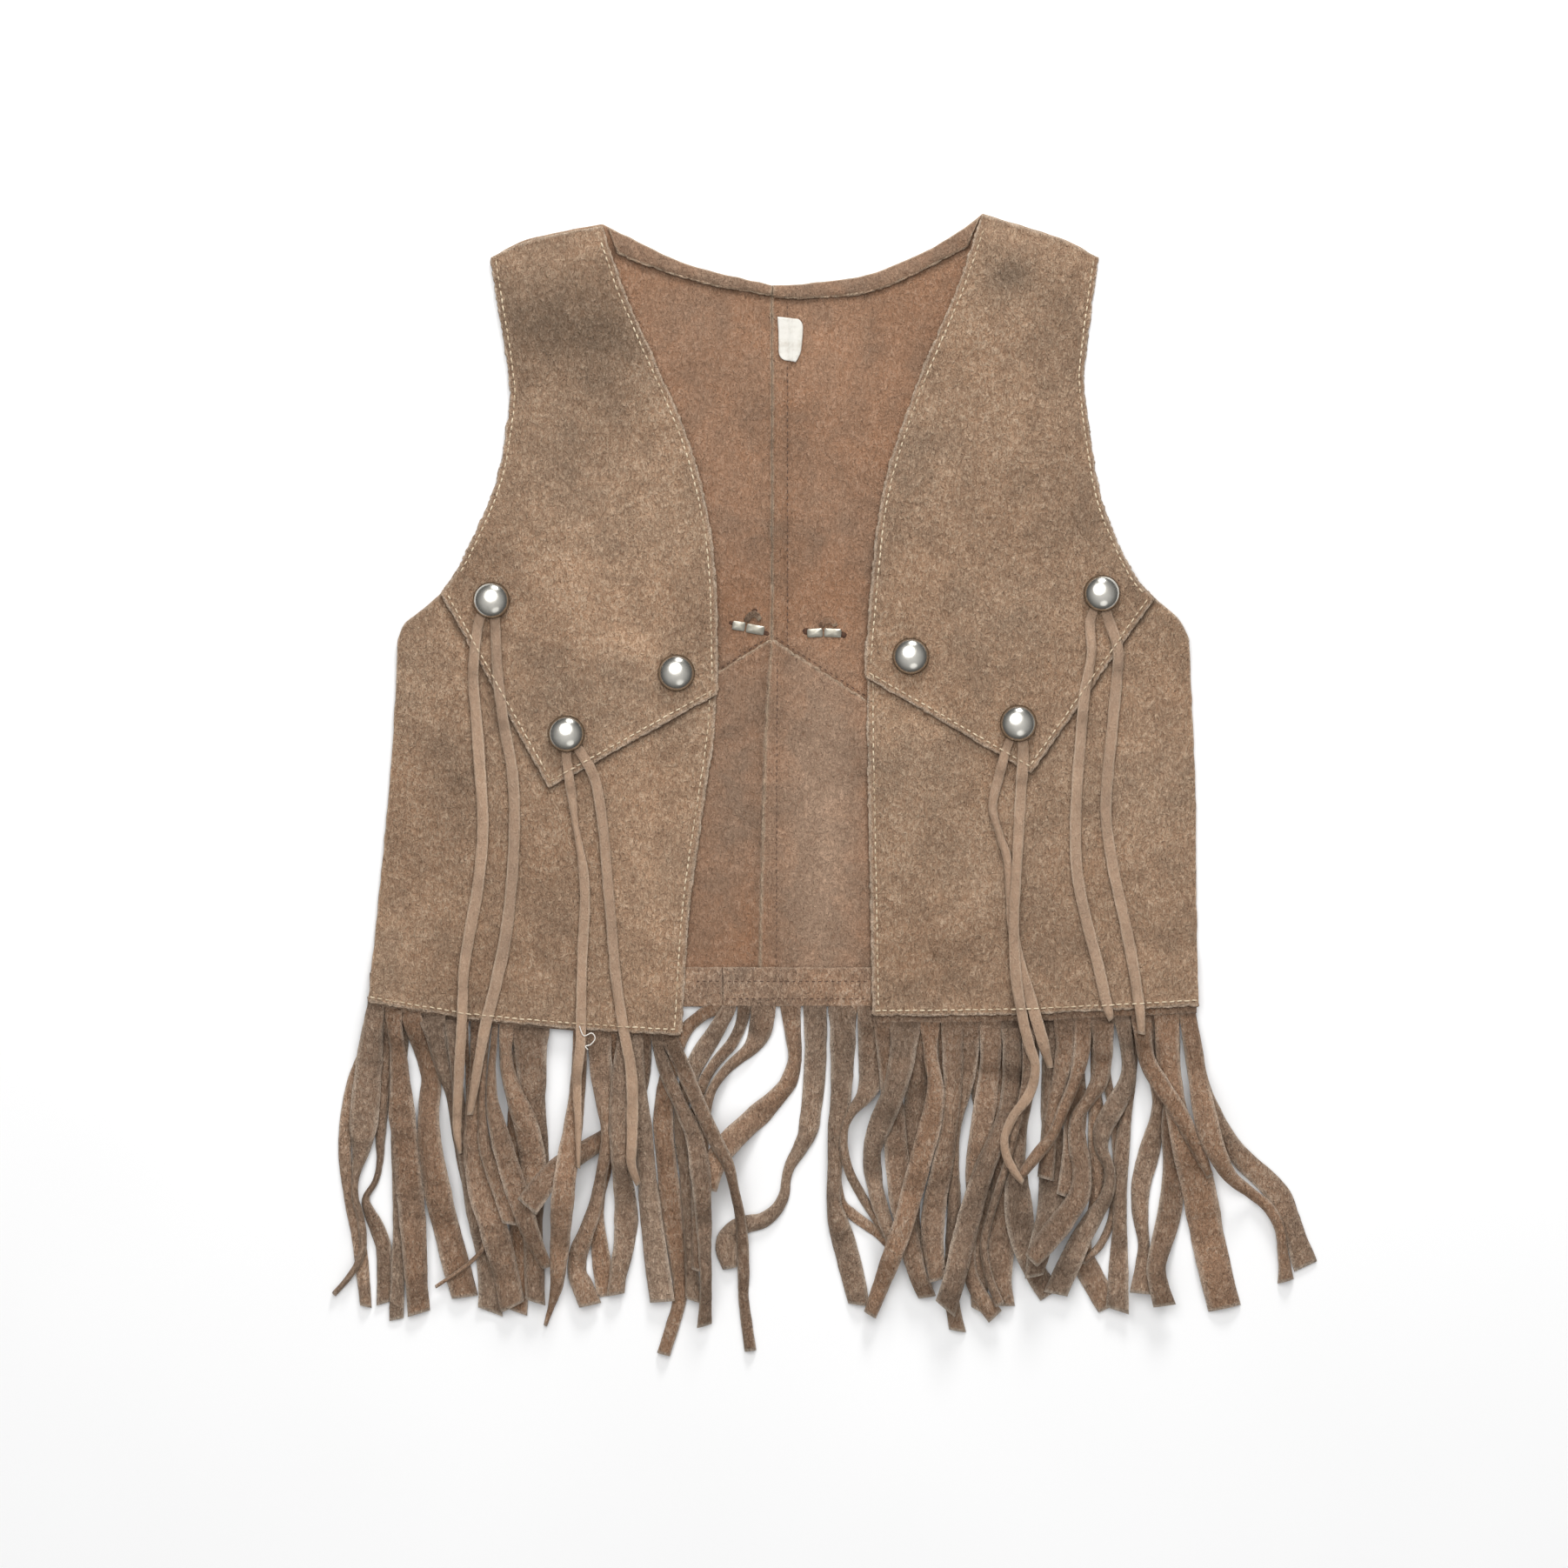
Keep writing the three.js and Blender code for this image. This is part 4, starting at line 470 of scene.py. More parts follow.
def noise(x, y, size, seed):
    u = np.asarray(x, float) / size
    v = np.asarray(y, float) / size
    column = np.floor(u)
    row = np.floor(v)

    def corner(i, j):
        across, down, by_seed, spread = HASH_FACTORS
        value = np.sin((column + i) * across + (row + j) * down + seed * by_seed) * spread
        return 2 * (value - np.floor(value)) - 1

    along = soft_step(u - column)
    above = soft_step(v - row)
    low = corner(0, 0) * (1 - along) + corner(1, 0) * along
    high = corner(0, 1) * (1 - along) + corner(1, 1) * along
    return low * (1 - above) + high * above


# Lines
LINE_STEP = 0.5


def smooth_line(points):
    """Points close together on a smooth line through the given ones"""
    points = np.asarray(points, float)
    padded = np.vstack([points[:1], points, points[-1:]])
    pieces = []
    for i in range(len(points) - 1):
        before, start, end, after = padded[i:i + 4]
        count = max(2, math.ceil(np.linalg.norm((end - start)[:2]) / LINE_STEP))
        t = (np.arange(count) / count)[:, None]
        slope_in = (end - before) / 2
        slope_out = (after - start) / 2
        pieces.append(
            start + slope_in * t
            + (3 * (end - start) - 2 * slope_in - slope_out) * t ** 2
            + (2 * (start - end) + slope_in + slope_out) * t ** 3
        )
    return np.vstack([*pieces, points[-1:]])


def line_runs(line):
    """Distance along a line of each of its points"""
    steps = np.linalg.norm(np.diff(line[:, :2], axis=0), axis=1)
    return np.concatenate([[0], np.cumsum(steps)])


def points_at(line, runs):
    """Points of a line at distances along it"""
    own = line_runs(line)
    return np.stack([np.interp(runs, own, column) for column in line.T], axis=1)


def line_directions(points):
    ahead = np.gradient(points[:, :2], axis=0)
    return ahead / np.linalg.norm(ahead, axis=1)[:, None]


def distance_to_line(line, x, y):
    nearest = np.full(np.shape(x), np.inf)
    for start, end in zip(line[:-1, :2], line[1:, :2]):
        along = end - start
        reach = max(along @ along, 1e-9)
        share = clamp01(((x - start[0]) * along[0] + (y - start[1]) * along[1]) / reach)
        gap = np.hypot(x - start[0] - share * along[0], y - start[1] - share * along[1])
        nearest = np.minimum(nearest, gap)
    return nearest


COARSE_STEP = 5


def coarse(line):
    """The same line with fewer points, for measuring distances to it"""
    total = line_runs(line)[-1]
    return points_at(line, np.linspace(0, total, max(2, math.ceil(total / COARSE_STEP))))


# Sheets. A sheet's edges are lists of sections, and its points are blended between the four edges.
SHEET_CELL = 1.9
RIM_STATIONS = (0.45, 1.2)


def smooth_sections(*groups):
    return [smooth_line(to_mm(rows)) for rows in groups]


def straight_sections(rows):
    return [smooth_line(to_mm(pair)) for pair in zip(rows[:-1], rows[1:])]


def stations_for(first, second, cell=SHEET_CELL, extra=()):
    """Stations along two facing edges. The whole part of a station names the section."""
    lengths = [max(line_runs(a)[-1], line_runs(b)[-1]) for a, b in zip(first, second)]
    stations = list(extra)
    for i, length in enumerate(lengths):
        count = math.ceil(length / cell)
        stations.extend(i + np.arange(count) / count)
    last = len(lengths)
    stations.append(last)
    for inset in RIM_STATIONS:
        stations.append(inset / lengths[0])
        stations.append(last - inset / lengths[-1])
    ordered = np.unique(np.round(stations, 5))
    kept = [0.0]
    for station in ordered[1:]:
        if station - kept[-1] > 0.15 / max(lengths) or station in np.round(extra, 5):
            kept.append(station)
    kept[-1] = float(last)
    return np.array(kept)


def edge_points(sections, stations):
    points = []
    for station in stations:
        index = min(int(station), len(sections) - 1)
        line = sections[index]
        runs = line_runs(line)
        points.append(points_at(line, [(station - index) * runs[-1]])[0])
    return np.array(points)


def blend_sheet(top, bottom, outer, inner, columns, rows):
    high = edge_points(top, columns)
    low = edge_points(bottom, columns)
    first = edge_points(outer, rows)
    last = edge_points(inner, rows)

    def shares(a, b):
        runs = [line_runs(points) / line_runs(points)[-1] for points in (a, b)]
        return (runs[0] + runs[1]) / 2

    u = shares(high, low)[None, :, None]
    v = shares(first, last)[:, None, None]
    across = (1 - v) * high[None] + v * low[None]
    down = (1 - u) * first[:, None] + u * last[:, None]
    corners = (1 - v) * ((1 - u) * high[0] + u * high[-1]) + v * ((1 - u) * low[0] + u * low[-1])
    return across + down - corners


def sheet_plan(edges, cells=(SHEET_CELL, SHEET_CELL), extra=()):
    """Grid of plan points between the top, bottom, outer and inner edges"""
    top, bottom, outer, inner = edges
    columns = stations_for(top, bottom, cells[0], extra)
    rows = stations_for(outer, inner, cells[1])
    return blend_sheet(*edges, columns, rows)


# Edges were cut by hand, so every plan point is moved a little
CUT_WOBBLE = 0.28
CUT_WOBBLE_SIZE = 6


def wobble(plan):
    x = plan[..., 0]
    y = plan[..., 1]
    moved = plan.copy()
    moved[..., 0] = x + CUT_WOBBLE * noise(x, y, CUT_WOBBLE_SIZE, 3)
    moved[..., 1] = y + CUT_WOBBLE * noise(x, y, CUT_WOBBLE_SIZE, 4)
    return moved


# Heights
def level(n):
    """Height of the underside of the n-th sheet in a stack that lies on the floor"""
    return n * PITCH


# Where a piece climbs onto what is under it: photo y for the strip, distances from an edge for the rest
STRIP_CLIMB = (1084, 1107)
HEM_CLIMB = (32, 19)
LAP_CLIMB = (30, 17)
BACK_LAP_CLIMB = (54, 38)


def climb(distance, start, end):
    return soft_step((start - distance) / (start - end))


def swell_height(x, y):
    height = np.zeros(np.shape(x))
    for px, py, turn, long, wide, high in SWELLS:
        turn = math.radians(turn)
        dx = x - to_x(px)
        dy = y - to_y(py)
        along = (dx * math.cos(turn) + dy * math.sin(turn)) / long
        across = (dy * math.cos(turn) - dx * math.sin(turn)) / wide
        height += high * np.exp(-along ** 2 - across ** 2)
    return height


CREASE_SPREAD = 2.6
CREASE_POINTS = 15


def crease_height(creases, x, y):
    """Soft ridges and troughs that fade out at their ends, from rows of height, width and a photo path"""
    height = np.zeros(np.shape(x))
    for high, wide, *path in creases:
        line = smooth_line(to_mm(path))
        x_low, y_low = line.min(axis=0) - CREASE_SPREAD * wide
        x_high, y_high = line.max(axis=0) + CREASE_SPREAD * wide
        near = (x > x_low) & (x < x_high) & (y > y_low) & (y < y_high)
        if not near.any():
            continue
        points = points_at(line, np.linspace(0, line_runs(line)[-1], CREASE_POINTS))
        total = np.zeros(near.sum())
        for i, point in enumerate(points):
            strength = math.sin(math.pi * (i + 0.5) / len(points)) ** 0.5
            gap = np.hypot(x[near] - point[0], y[near] - point[1]) / wide
            total = np.maximum(total, strength * np.exp(-gap ** 2))
        height[near] += high * total
    return height


def hide_relief(x, y, seed):
    """Low uneven waves of a hide that lies loose"""
    return (
        0.45 * noise(x, y, 28, seed)
        + 0.34 * noise(x, y, 14, seed + 1)
        + 0.14 * noise(x, y, 6, seed + 2)
    )


LIP_HEIGHT = 0.8
LIP_REACH = 4


def lip(distance, x, y):
    """How far a lapped edge stands off the hide under it, more in some places than in others"""
    return LIP_HEIGHT * np.exp(-(distance / LIP_REACH) ** 2) * (0.6 + 0.4 * noise(x, y, 11, 27))


def front_undersides(front, back):
    """Undersides of a front's lower piece and yoke"""
    outer = [front["shoulder"], front["armhole"], front["armholeLow"], front["side"]]
    outer_edge = coarse(np.vstack(smooth_sections(*outer)))
    hem_edge = coarse(smooth_line(to_mm(front["hem"])))
    lap_edge = to_mm(front["point"])
    back_lap_edge = to_mm(back["lowerEdge"])

    def parts(x, y):
        rise = soft_step(distance_to_line(outer_edge, x, y) / EDGE_ROLL)
        start, end = STRIP_CLIMB
        over_strip = soft_step((to_y(start) - y) / (to_y(start) - to_y(end)))
        over_back_lap = climb(distance_to_line(back_lap_edge, x, y), *BACK_LAP_CLIMB)
        over_back = np.maximum(np.maximum(rise, over_strip), over_back_lap)
        waves = swell_height(x, y) + crease_height(FRONT_CREASES, x, y) + hide_relief(x, y, 20)
        return rise, over_back, rise * np.maximum(waves, -0.2)

    def lower(x, y):
        rise, over_back, waves = parts(x, y)
        to_hem = distance_to_line(hem_edge, x, y)
        over_hem = climb(to_hem, *HEM_CLIMB)
        return level(1) + PITCH * (over_back + over_hem) + waves + lip(to_hem, x, y)

    def yoke(x, y):
        rise, over_back, waves = parts(x, y)
        to_lap = distance_to_line(lap_edge, x, y)
        over_lower = np.maximum(rise, climb(to_lap, *LAP_CLIMB))
        return level(1) + PITCH * (over_back + over_lower) + waves + lip(to_lap, x, y)

    return {"lower": lower, "yoke": yoke}


# The back shows between the fronts' inner edges, and only there does it lie uneven
BACK_SHOWS = 26
BACK_LAP = {"covers": 26, "drop": 12}


def back_waves(x, y):
    inner_edges = [
        FRONT_LEFT["innerHigh"], FRONT_LEFT["innerLow"], FRONT_RIGHT["innerHigh"], FRONT_RIGHT["innerLow"],
    ]
    inside = np.ones(np.shape(x))
    for rows, side in zip(inner_edges, (1, 1, -1, -1)):
        line = smooth_line(to_mm(rows))
        order = np.argsort(line[:, 1])
        edge_x = np.interp(y, line[order, 1], line[order, 0])
        inside = np.minimum(inside, soft_step((x - edge_x) * side / BACK_SHOWS + 0.1))
    top = smooth_line(to_mm(BACK_LEFT["neck"] + BACK_RIGHT["neck"][::-1][1:]))
    inside *= soft_step(distance_to_line(coarse(top), x, y) / 20)
    inside *= soft_step((y - to_y(BACK_STRIP["top"])) / 14)
    waves = crease_height(BACK_CREASES, x, y) + hide_relief(x, y, 40) + 0.4
    return inside * np.maximum(waves, 0)


def back_lower_underside(back):
    edge = to_mm(back["lowerEdge"])
    reach = BACK_LAP["covers"] + BACK_LAP["drop"]

    def underside(x, y):
        lap = soft_step((reach - distance_to_line(edge, x, y)) / BACK_LAP["drop"])
        return level(1) * lap + back_waves(x, y)

    return underside


# What has been laid so far, as heights in square cells
CELL = 0.5
MAP_LOW = (-300, -335)
pile = np.zeros((1340, 1200))


def cells_of(x, y):
    column = np.floor((np.asarray(x) - MAP_LOW[0]) / CELL).astype(int)
    row = np.floor((np.asarray(y) - MAP_LOW[1]) / CELL).astype(int)
    return row, column


def lay_grid(points):
    """Lays a grid of points on the height map, with points between them where they are far apart"""
    gaps = [np.linalg.norm(np.diff(points[..., :2], axis=axis), axis=-1).max() for axis in (0, 1)]
    for axis, gap in enumerate(gaps):
        times = math.ceil(gap / (0.8 * CELL))
        count = points.shape[axis]
        wanted = np.linspace(0, count - 1, (count - 1) * times + 1)
        low = np.minimum(wanted.astype(int), count - 2)
        share = wanted - low
        shape = [1, 1, 1]
        shape[axis] = len(wanted)
        share = share.reshape(shape)
        points = np.take(points, low, axis) * (1 - share) + np.take(points, low + 1, axis) * share
    row, column = cells_of(points[..., 0], points[..., 1])
    np.maximum.at(pile, (row.ravel(), column.ravel()), points[..., 2].ravel())


def add_object(name, vertices, faces, look, attributes=None, slot=None):
    """A mesh object from millimetres that rides on the vest. Its slot argument is not used."""
    mesh = bpy.data.meshes.new(name)
    mesh.from_pydata((np.asarray(vertices) / 1000).tolist(), [], [list(face) for face in faces])
    mesh.validate()
    for key, values in (attributes or {}).items():
        attribute = mesh.attributes.new(key, "FLOAT", "POINT")
        attribute.data.foreach_set("value", np.asarray(values, np.float32))
    mesh.polygons.foreach_set("use_smooth", [True] * len(mesh.polygons))
    obj = bpy.data.objects.new(name, mesh)
    bpy.context.scene.collection.objects.link(obj)
    mesh.materials.append(looks[look])
    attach(obj, "root")
    return obj


def grid_faces(rows, columns, start=0, wrap=False):
    """Quads of a grid of points. A wrapped grid joins its last column to its first."""
    faces = []
    reach = columns if wrap else columns - 1
    for j in range(rows - 1):
        for i in range(reach):
            following = (i + 1) % columns
            faces.append((
                start + j * columns + i,
                start + (j + 1) * columns + i,
                start + (j + 1) * columns + following,
                start + j * columns + following,
            ))
    return faces


def patch_tones(patches, x, y):
    """Shade and warmth that the patches give a hide"""
    totals = np.zeros((2, *np.shape(x)))
    for px, py, long, high, *tones in patches:
        dx = (x - to_x(px)) / (long * MM_PER_PX)
        dy = (y - to_y(py)) / (high * MM_PER_PX)
        strength = np.exp(-dx ** 2 - dy ** 2)
        for total, tone in zip(totals, tones):
            total += tone * strength
    return totals


# Rounding of a sheet's rim, and the strength and size of its tones
RIM_ROUND = 0.4
PATCH_CONTRAST = 1.5
CLOUD_SHADE = 0.07
CLOUD_SHADE_SIZE = 34
CLOUD_WARMTH = 0.2
CLOUD_WARMTH_SIZE = 48


def line_tone(shadows, x, y, seed):
    """Darkening beside lines where another piece shades the hide. Rows: line, depth, reach, power."""
    tone = np.zeros(np.shape(x))
    uneven = 0.75 + 0.25 * noise(x, y, 5, seed)
    for line, depth, reach, power in shadows:
        tone = np.maximum(tone, depth * np.exp(-(distance_to_line(line, x, y) / reach) ** power))
    return -tone * uneven


def sheet_mesh(plan, underside, thickness, patches, seed, base_shade=0.0, base_warm=0.0, shadows=()):
    """Closed thin shell with rounded rims over a grid of plan points"""
    x = plan[..., 0]
    y = plan[..., 1]
    rows, columns = x.shape
    row_depth, column_depth = [np.minimum(np.arange(n), np.arange(n)[::-1]) for n in x.shape]
    depth = np.minimum(row_depth[:, None], column_depth[None, :])
    rim = np.where(depth == 0, 1.0, 0.0)
    near_rim = np.select([depth < 2, depth < 3], [1.0, 0.5], 0.0)
    low = underside(x, y)
    thick = thickness(x, y) if callable(thickness) else thickness
    high = low + thick - RIM_ROUND * rim
    low = low + RIM_ROUND * rim
    points = wobble(plan)
    top = np.dstack([points, high])
    bottom = np.dstack([points, low])
    count = rows * columns
    faces = grid_faces(rows, columns)
    faces += [face[::-1] for face in grid_faces(rows, columns, count)]
    loop = (
        list(range(columns - 1))
        + [j * columns + columns - 1 for j in range(rows - 1)]
        + [(rows - 1) * columns + i for i in range(columns - 1, 0, -1)]
        + [j * columns for j in range(rows - 1, 0, -1)]
    )
    for a, b in zip(loop, loop[1:] + loop[:1]):
        faces.append((a, b, b + count, a + count))
    across = plan[0, -1] - plan[0, 0]
    down = plan[-1, 0] - plan[0, 0]
    if across[0] * down[1] - across[1] * down[0] > 0:
        faces = [face[::-1] for face in faces]
    patch_shade, patch_warmth = patch_tones(patches, x, y)
    shade = base_shade + PATCH_CONTRAST * patch_shade + CLOUD_SHADE * noise(x, y, CLOUD_SHADE_SIZE, seed)
    shade = shade + line_tone(shadows, x, y, seed)
    warm = base_warm + patch_warmth + CLOUD_WARMTH * noise(x, y, CLOUD_WARMTH_SIZE, seed + 5)
    worn = np.maximum(rim, 0.75 * near_rim * (0.55 + 0.45 * noise(x, y, 3, seed + 9)))
    attributes = {
        "shade": np.concatenate([shade.ravel(), shade.ravel()]),
        "warm": np.concatenate([warm.ravel(), warm.ravel()]),
        "rim": np.concatenate([worn.ravel(), rim.ravel()]),
    }
    vertices = np.concatenate([top.reshape(-1, 3), bottom.reshape(-1, 3)])
    lay_grid(top)
    return vertices, faces, attributes


# Materials
class Graph:
    """A node tree with short ways to add nodes"""

    def __init__(self, owner):
        owner.use_nodes = True
        self.tree = owner.node_tree
        self.coordinates = self.tree.nodes.new("ShaderNodeTexCoord").outputs

    def join(self, source, socket):
        if isinstance(source, (int, float, tuple)):
            socket.default_value = source
        else:
            self.tree.links.new(source, socket)

    def node(self, kind, inputs, output=0, **settings):
        """Output of a new node, with its inputs joined to sockets or set to values"""
        node = self.tree.nodes.new(kind)
        for key, value in settings.items():
            setattr(node, key, value)
        for key, source in inputs.items():
            self.join(source, node.inputs[key])
        return node.outputs[output]

    def noise(self, scale, detail=3, roughness=0.55, distortion=0.0, stretch=(1, 1, 1), turn=0.0):
        place = self.node("ShaderNodeMapping", {
            "Vector": self.coordinates["Object"], "Scale": stretch, "Rotation": (0, 0, turn),
        })
        return self.node("ShaderNodeTexNoise", {
            "Vector": place, "Scale": scale, "Detail": detail, "Roughness": roughness,
            "Distortion": distortion,
        }, "Fac")

    def bands(self, scale, distortion, direction):
        return self.node("ShaderNodeTexWave", {
            "Vector": self.coordinates["Object"], "Scale": scale, "Distortion": distortion,
        }, "Fac", wave_type="BANDS", bands_direction=direction)

    def attribute(self, name):
        return self.node("ShaderNodeAttribute", {}, "Fac", attribute_name=name)

    def math(self, operation, *terms, clamp=False):
        return self.node("ShaderNodeMath", dict(enumerate(terms)), operation=operation, use_clamp=clamp)

    def spread(self, value, low, high, to_low=0.0, to_high=1.0):
        """A value moved from one range to another"""
        return self.node("ShaderNodeMapRange", {
            "Value": value, "From Min": low, "From Max": high, "To Min": to_low, "To Max": to_high,
        })

    def mix(self, factor, first, second, kind="MIX"):
        inputs = {"Factor": factor, "A": first, "B": second}
        return self.node("ShaderNodeMix", inputs, "Result", data_type="RGBA", blend_type=kind)

    def bump(self, height, distance, strength, **under):
        inputs = {"Height": height, "Distance": distance, "Strength": strength, **under}
        return self.node("ShaderNodeBump", inputs, "Normal")

    def set(self, **values):
        """Sets or joins inputs of the surface shader"""
        shader = self.tree.nodes["Principled BSDF"]
        for key, value in values.items():
            self.join(value, shader.inputs[key.replace("_", " ")])


looks = {}


def new_look(name):
    """Nodes of a new material, which pieces find in looks"""
    looks[name] = bpy.data.materials.new(name)
    return Graph(looks[name])


def linear(*colour):
    """Colour of 0 to 255 parts as a linear one"""
    def part(value):
        share = value / 255
        return share / 12.92 if share <= 0.04045 else ((share + 0.055) / 1.055) ** 2.4
    return (*[part(value) for value in colour], 1.0)


def suede_material(name, plain, warm, dark, light, rim, nap_turn, rough, grain):
    """Split hide with a mottled nap, patches, worn pale rims and fibres that catch light"""
    plain, warm, dark, light, rim = [linear(*colour) for colour in (plain, warm, dark, light, rim)]
    g = new_look(name)
    patches = g.noise(16, detail=4, roughness=0.6)
    clouds = g.noise(62, detail=4, roughness=0.6, distortion=0.6)
    mottles = g.noise(280, detail=4, roughness=0.62, distortion=0.8)
    nap = g.noise(640, detail=3, roughness=0.65, distortion=1.2, stretch=(1, 0.5, 1), turn=nap_turn)
    fibres = g.noise(1700, detail=3, roughness=0.6, stretch=(1, 0.45, 1), turn=nap_turn + 0.7)
    warm_share = g.math("ADD", g.attribute("warm"), g.spread(patches, 0.35, 0.65, -0.2, 0.2))
    warm_share = g.math("ADD", warm_share, g.spread(clouds, 0.3, 0.7, -0.3, 0.3))
    body = g.mix(g.spread(warm_share, -0.5, 0.5), plain, warm)
    spots = g.math("ADD", g.spread(clouds, 0.3, 0.7, -0.22, 0.22), g.spread(patches, 0.3, 0.7, -0.2, 0.2))
    for marks, share in ((mottles, 0.42), (nap, 0.55), (fibres, 0.45)):
        share *= grain
        spots = g.math("ADD", spots, g.spread(marks, 0.3, 0.7, -share, share))
    body = g.mix(g.spread(spots, 0.0, -1.0, 0.0, 0.65), body, dark)
    body = g.mix(g.spread(spots, 0.0, 1.0, 0.0, 0.9), body, light)
    # The shade attribute scales the colour: the hide's tones, and painted shade under laps and hems, beside
    # laces and seams, at strand roots and on strands' lowered sides
    shade = g.spread(g.attribute("shade"), -0.5, 0.5, 0.58, 1.42)
    grey = g.node("ShaderNodeCombineColor", {"Red": shade, "Green": shade, "Blue": shade}, "Color")
    body = g.mix(1.0, body, grey, "MULTIPLY")
    worn = g.math("MULTIPLY", g.attribute("rim"), g.spread(fibres, 0.3, 0.7, 0.45, 1.0), clamp=True)
    height = g.math("ADD", g.math("MULTIPLY", mottles, 0.6), g.math("MULTIPLY", nap, 0.7))
    broad = g.bump(height, 0.0034 * rough, 1.0)
    g.set(
        Base_Color=g.mix(worn, body, rim), Roughness=0.95, Normal=g.bump(fibres, 0.0008, 0.8, Normal=broad),
        Specular_IOR_Level=0.12, Sheen_Weight=0.14, Sheen_Roughness=0.4, Sheen_Tint=linear(225, 200, 175),
    )


def metal_material(name, colour, roughness, smudge):
    """Plated metal with faint smudges, fine scratches and a painted dark edge where it meets the hide, for
    contact shadow and dark reflection
    """
    g = new_look(name)
    blots = g.noise(160, detail=4, roughness=0.6)
    scratches = g.noise(900, detail=2, stretch=(1, 0.06, 1), turn=0.5)
    tarnish_and_rim_shadow = g.mix(g.spread(blots, 0.45, 0.75, 0.0, smudge), colour, linear(120, 108, 92))
    # Painted shade: dark where the rim attribute is set, at the outer edge of a stud's dome
    tarnish_and_rim_shadow = g.mix(g.attribute("rim"), tarnish_and_rim_shadow, linear(74, 70, 64))
    rough = g.spread(blots, 0.3, 0.7, roughness * 0.7, roughness * 1.4)
    g.set(Base_Color=tarnish_and_rim_shadow, Roughness=rough, Metallic=1.0, Normal=g.bump(scratches, 0.00004, 0.3))


def thread_material(name, colour, dark):
    """Twisted thread with soiled stretches"""
    g = new_look(name)
    twist = g.bands(900, 1.5, "DIAGONAL")
    body = g.mix(g.spread(g.noise(60), 0.4, 0.65, 0.0, 0.8), colour, dark)
    g.set(Base_Color=body, Roughness=0.8, Normal=g.bump(twist, 0.0001, 0.6), Sheen_Weight=0.2)


def label_material():
    """White woven tape, bare, with a little soil"""
    g = new_look("label_cloth")
    weave = g.math("ADD", g.bands(560, 0.6, "X"), g.bands(560, 0.6, "Y"))
    soil = g.noise(190, detail=4, roughness=0.6)
    body = g.mix(g.spread(soil, 0.45, 0.7, 0.0, 0.45), linear(232, 229, 221), linear(176, 164, 146))
    body = g.mix(g.spread(weave, 0.2, 1.8, 0.25, 0.0), body, linear(186, 180, 168))
    g.set(Base_Color=body, Roughness=0.85, Normal=g.bump(weave, 0.00018, 0.5))


def slit_shadow_material():
    """Shadowed suede inside a slit"""
    g = new_look("slit_shadow")
    mottles = g.noise(600)
    body = g.mix(g.spread(mottles, 0.3, 0.7), linear(58, 38, 28), linear(92, 62, 44))
    g.set(Base_Color=body, Roughness=0.95, Normal=g.bump(mottles, 0.0003, 0.5))


def floor_material():
    """Plain pale board with the faintest unevenness"""
    g = new_look("floor_board")
    clouds = g.spread(g.noise(3, detail=2), 0.3, 0.7)
    body = g.mix(clouds, (0.93, 0.93, 0.93, 1), (0.96, 0.96, 0.96, 1))
    g.set(Base_Color=body, Roughness=0.8, Specular_IOR_Level=0.1)


# Suedes: plain, warm, dark, light and rim colours, turn of the nap, roughness and grain
SUEDES = [
    ("suede_front", (160, 136, 114), (172, 137, 109), (112, 81, 60), (208, 182, 156), (222, 203, 182),
     0.4, 1.0, 1.0),
    ("suede_back", (150, 125, 105), (158, 119, 92), (106, 74, 54), (188, 156, 132), (204, 184, 160),
     -0.5, 0.7, 0.75),
    ("suede_fringe", (151, 128, 109), (162, 127, 101), (86, 62, 47), (200, 176, 154), (224, 208, 190),
     1.3, 1.0, 1.0),
    ("suede_lace", (170, 145, 124), (176, 145, 120), (134, 104, 82), (196, 172, 150), (214, 194, 172),
     1.2, 0.3, 0.5),
]
for row in SUEDES:
    suede_material(*row)
metal_material("stud_nickel", linear(206, 203, 195), 0.2, 0.2)
metal_material("prong_nickel", linear(172, 168, 156), 0.45, 0.5)
thread_material("thread_cream", linear(226, 208, 178), linear(176, 150, 120))
thread_material("thread_brown", linear(96, 66, 48), linear(70, 48, 36))
thread_material("thread_white", linear(232, 228, 220), linear(214, 206, 196))
label_material()
slit_shadow_material()
floor_material()

# Panels: their plans, and the middle lines of their cut edges as the grids they border
cuts = {}


def build_panel(
    name, edges, underside, thickness, look, patches, seed, cells=(SHEET_CELL, SHEET_CELL), extra=(),
    **tones,
):
    plan = sheet_plan(edges, cells, extra)
    vertices, faces, attributes = sheet_mesh(plan, underside, thickness, patches, seed, **tones)
    obj = add_object(f"{name}_hide", vertices, faces, look, attributes)
    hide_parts(name)
    cuts[name] = vertices.reshape(2, *plan.shape[:2], 3).mean(axis=0)


def raised_beside_seam(strip_line, low_y, high_y):
    """Thickness that is raised between a seam's line and the strip's far edge"""
    order = np.argsort(strip_line[:, 1])

    def thickness(x, y):
        edge_x = np.interp(y, strip_line[order, 1], strip_line[order, 0])
        inside = soft_step((edge_x + 0.35 * noise(x, y, 5, 8) - x) / 0.9 + 0.5)
        inside = inside * soft_step((y - low_y) / 1.5) * soft_step((high_y - y) / 1.5)
        return SUEDE + SEAM_RAISE * inside

    return thickness


# The strip beside the centre seam: its width, and the photo rows where it ends on yoke and lower
STRIP_PX = 17
STRIP_ON_YOKE = (742, 344)
STRIP_ON_LOWER = (1112, 738)
BACK_SHADE = 0.03

# More stations across the far edge of that strip, so that its step is sharp
YOKE_STEP_STATIONS = (1.86, 1.88, 1.9, 1.92, 1.94)
LOWER_STEP_STATIONS = (1.88, 1.9, 1.92, 1.94, 1.96)


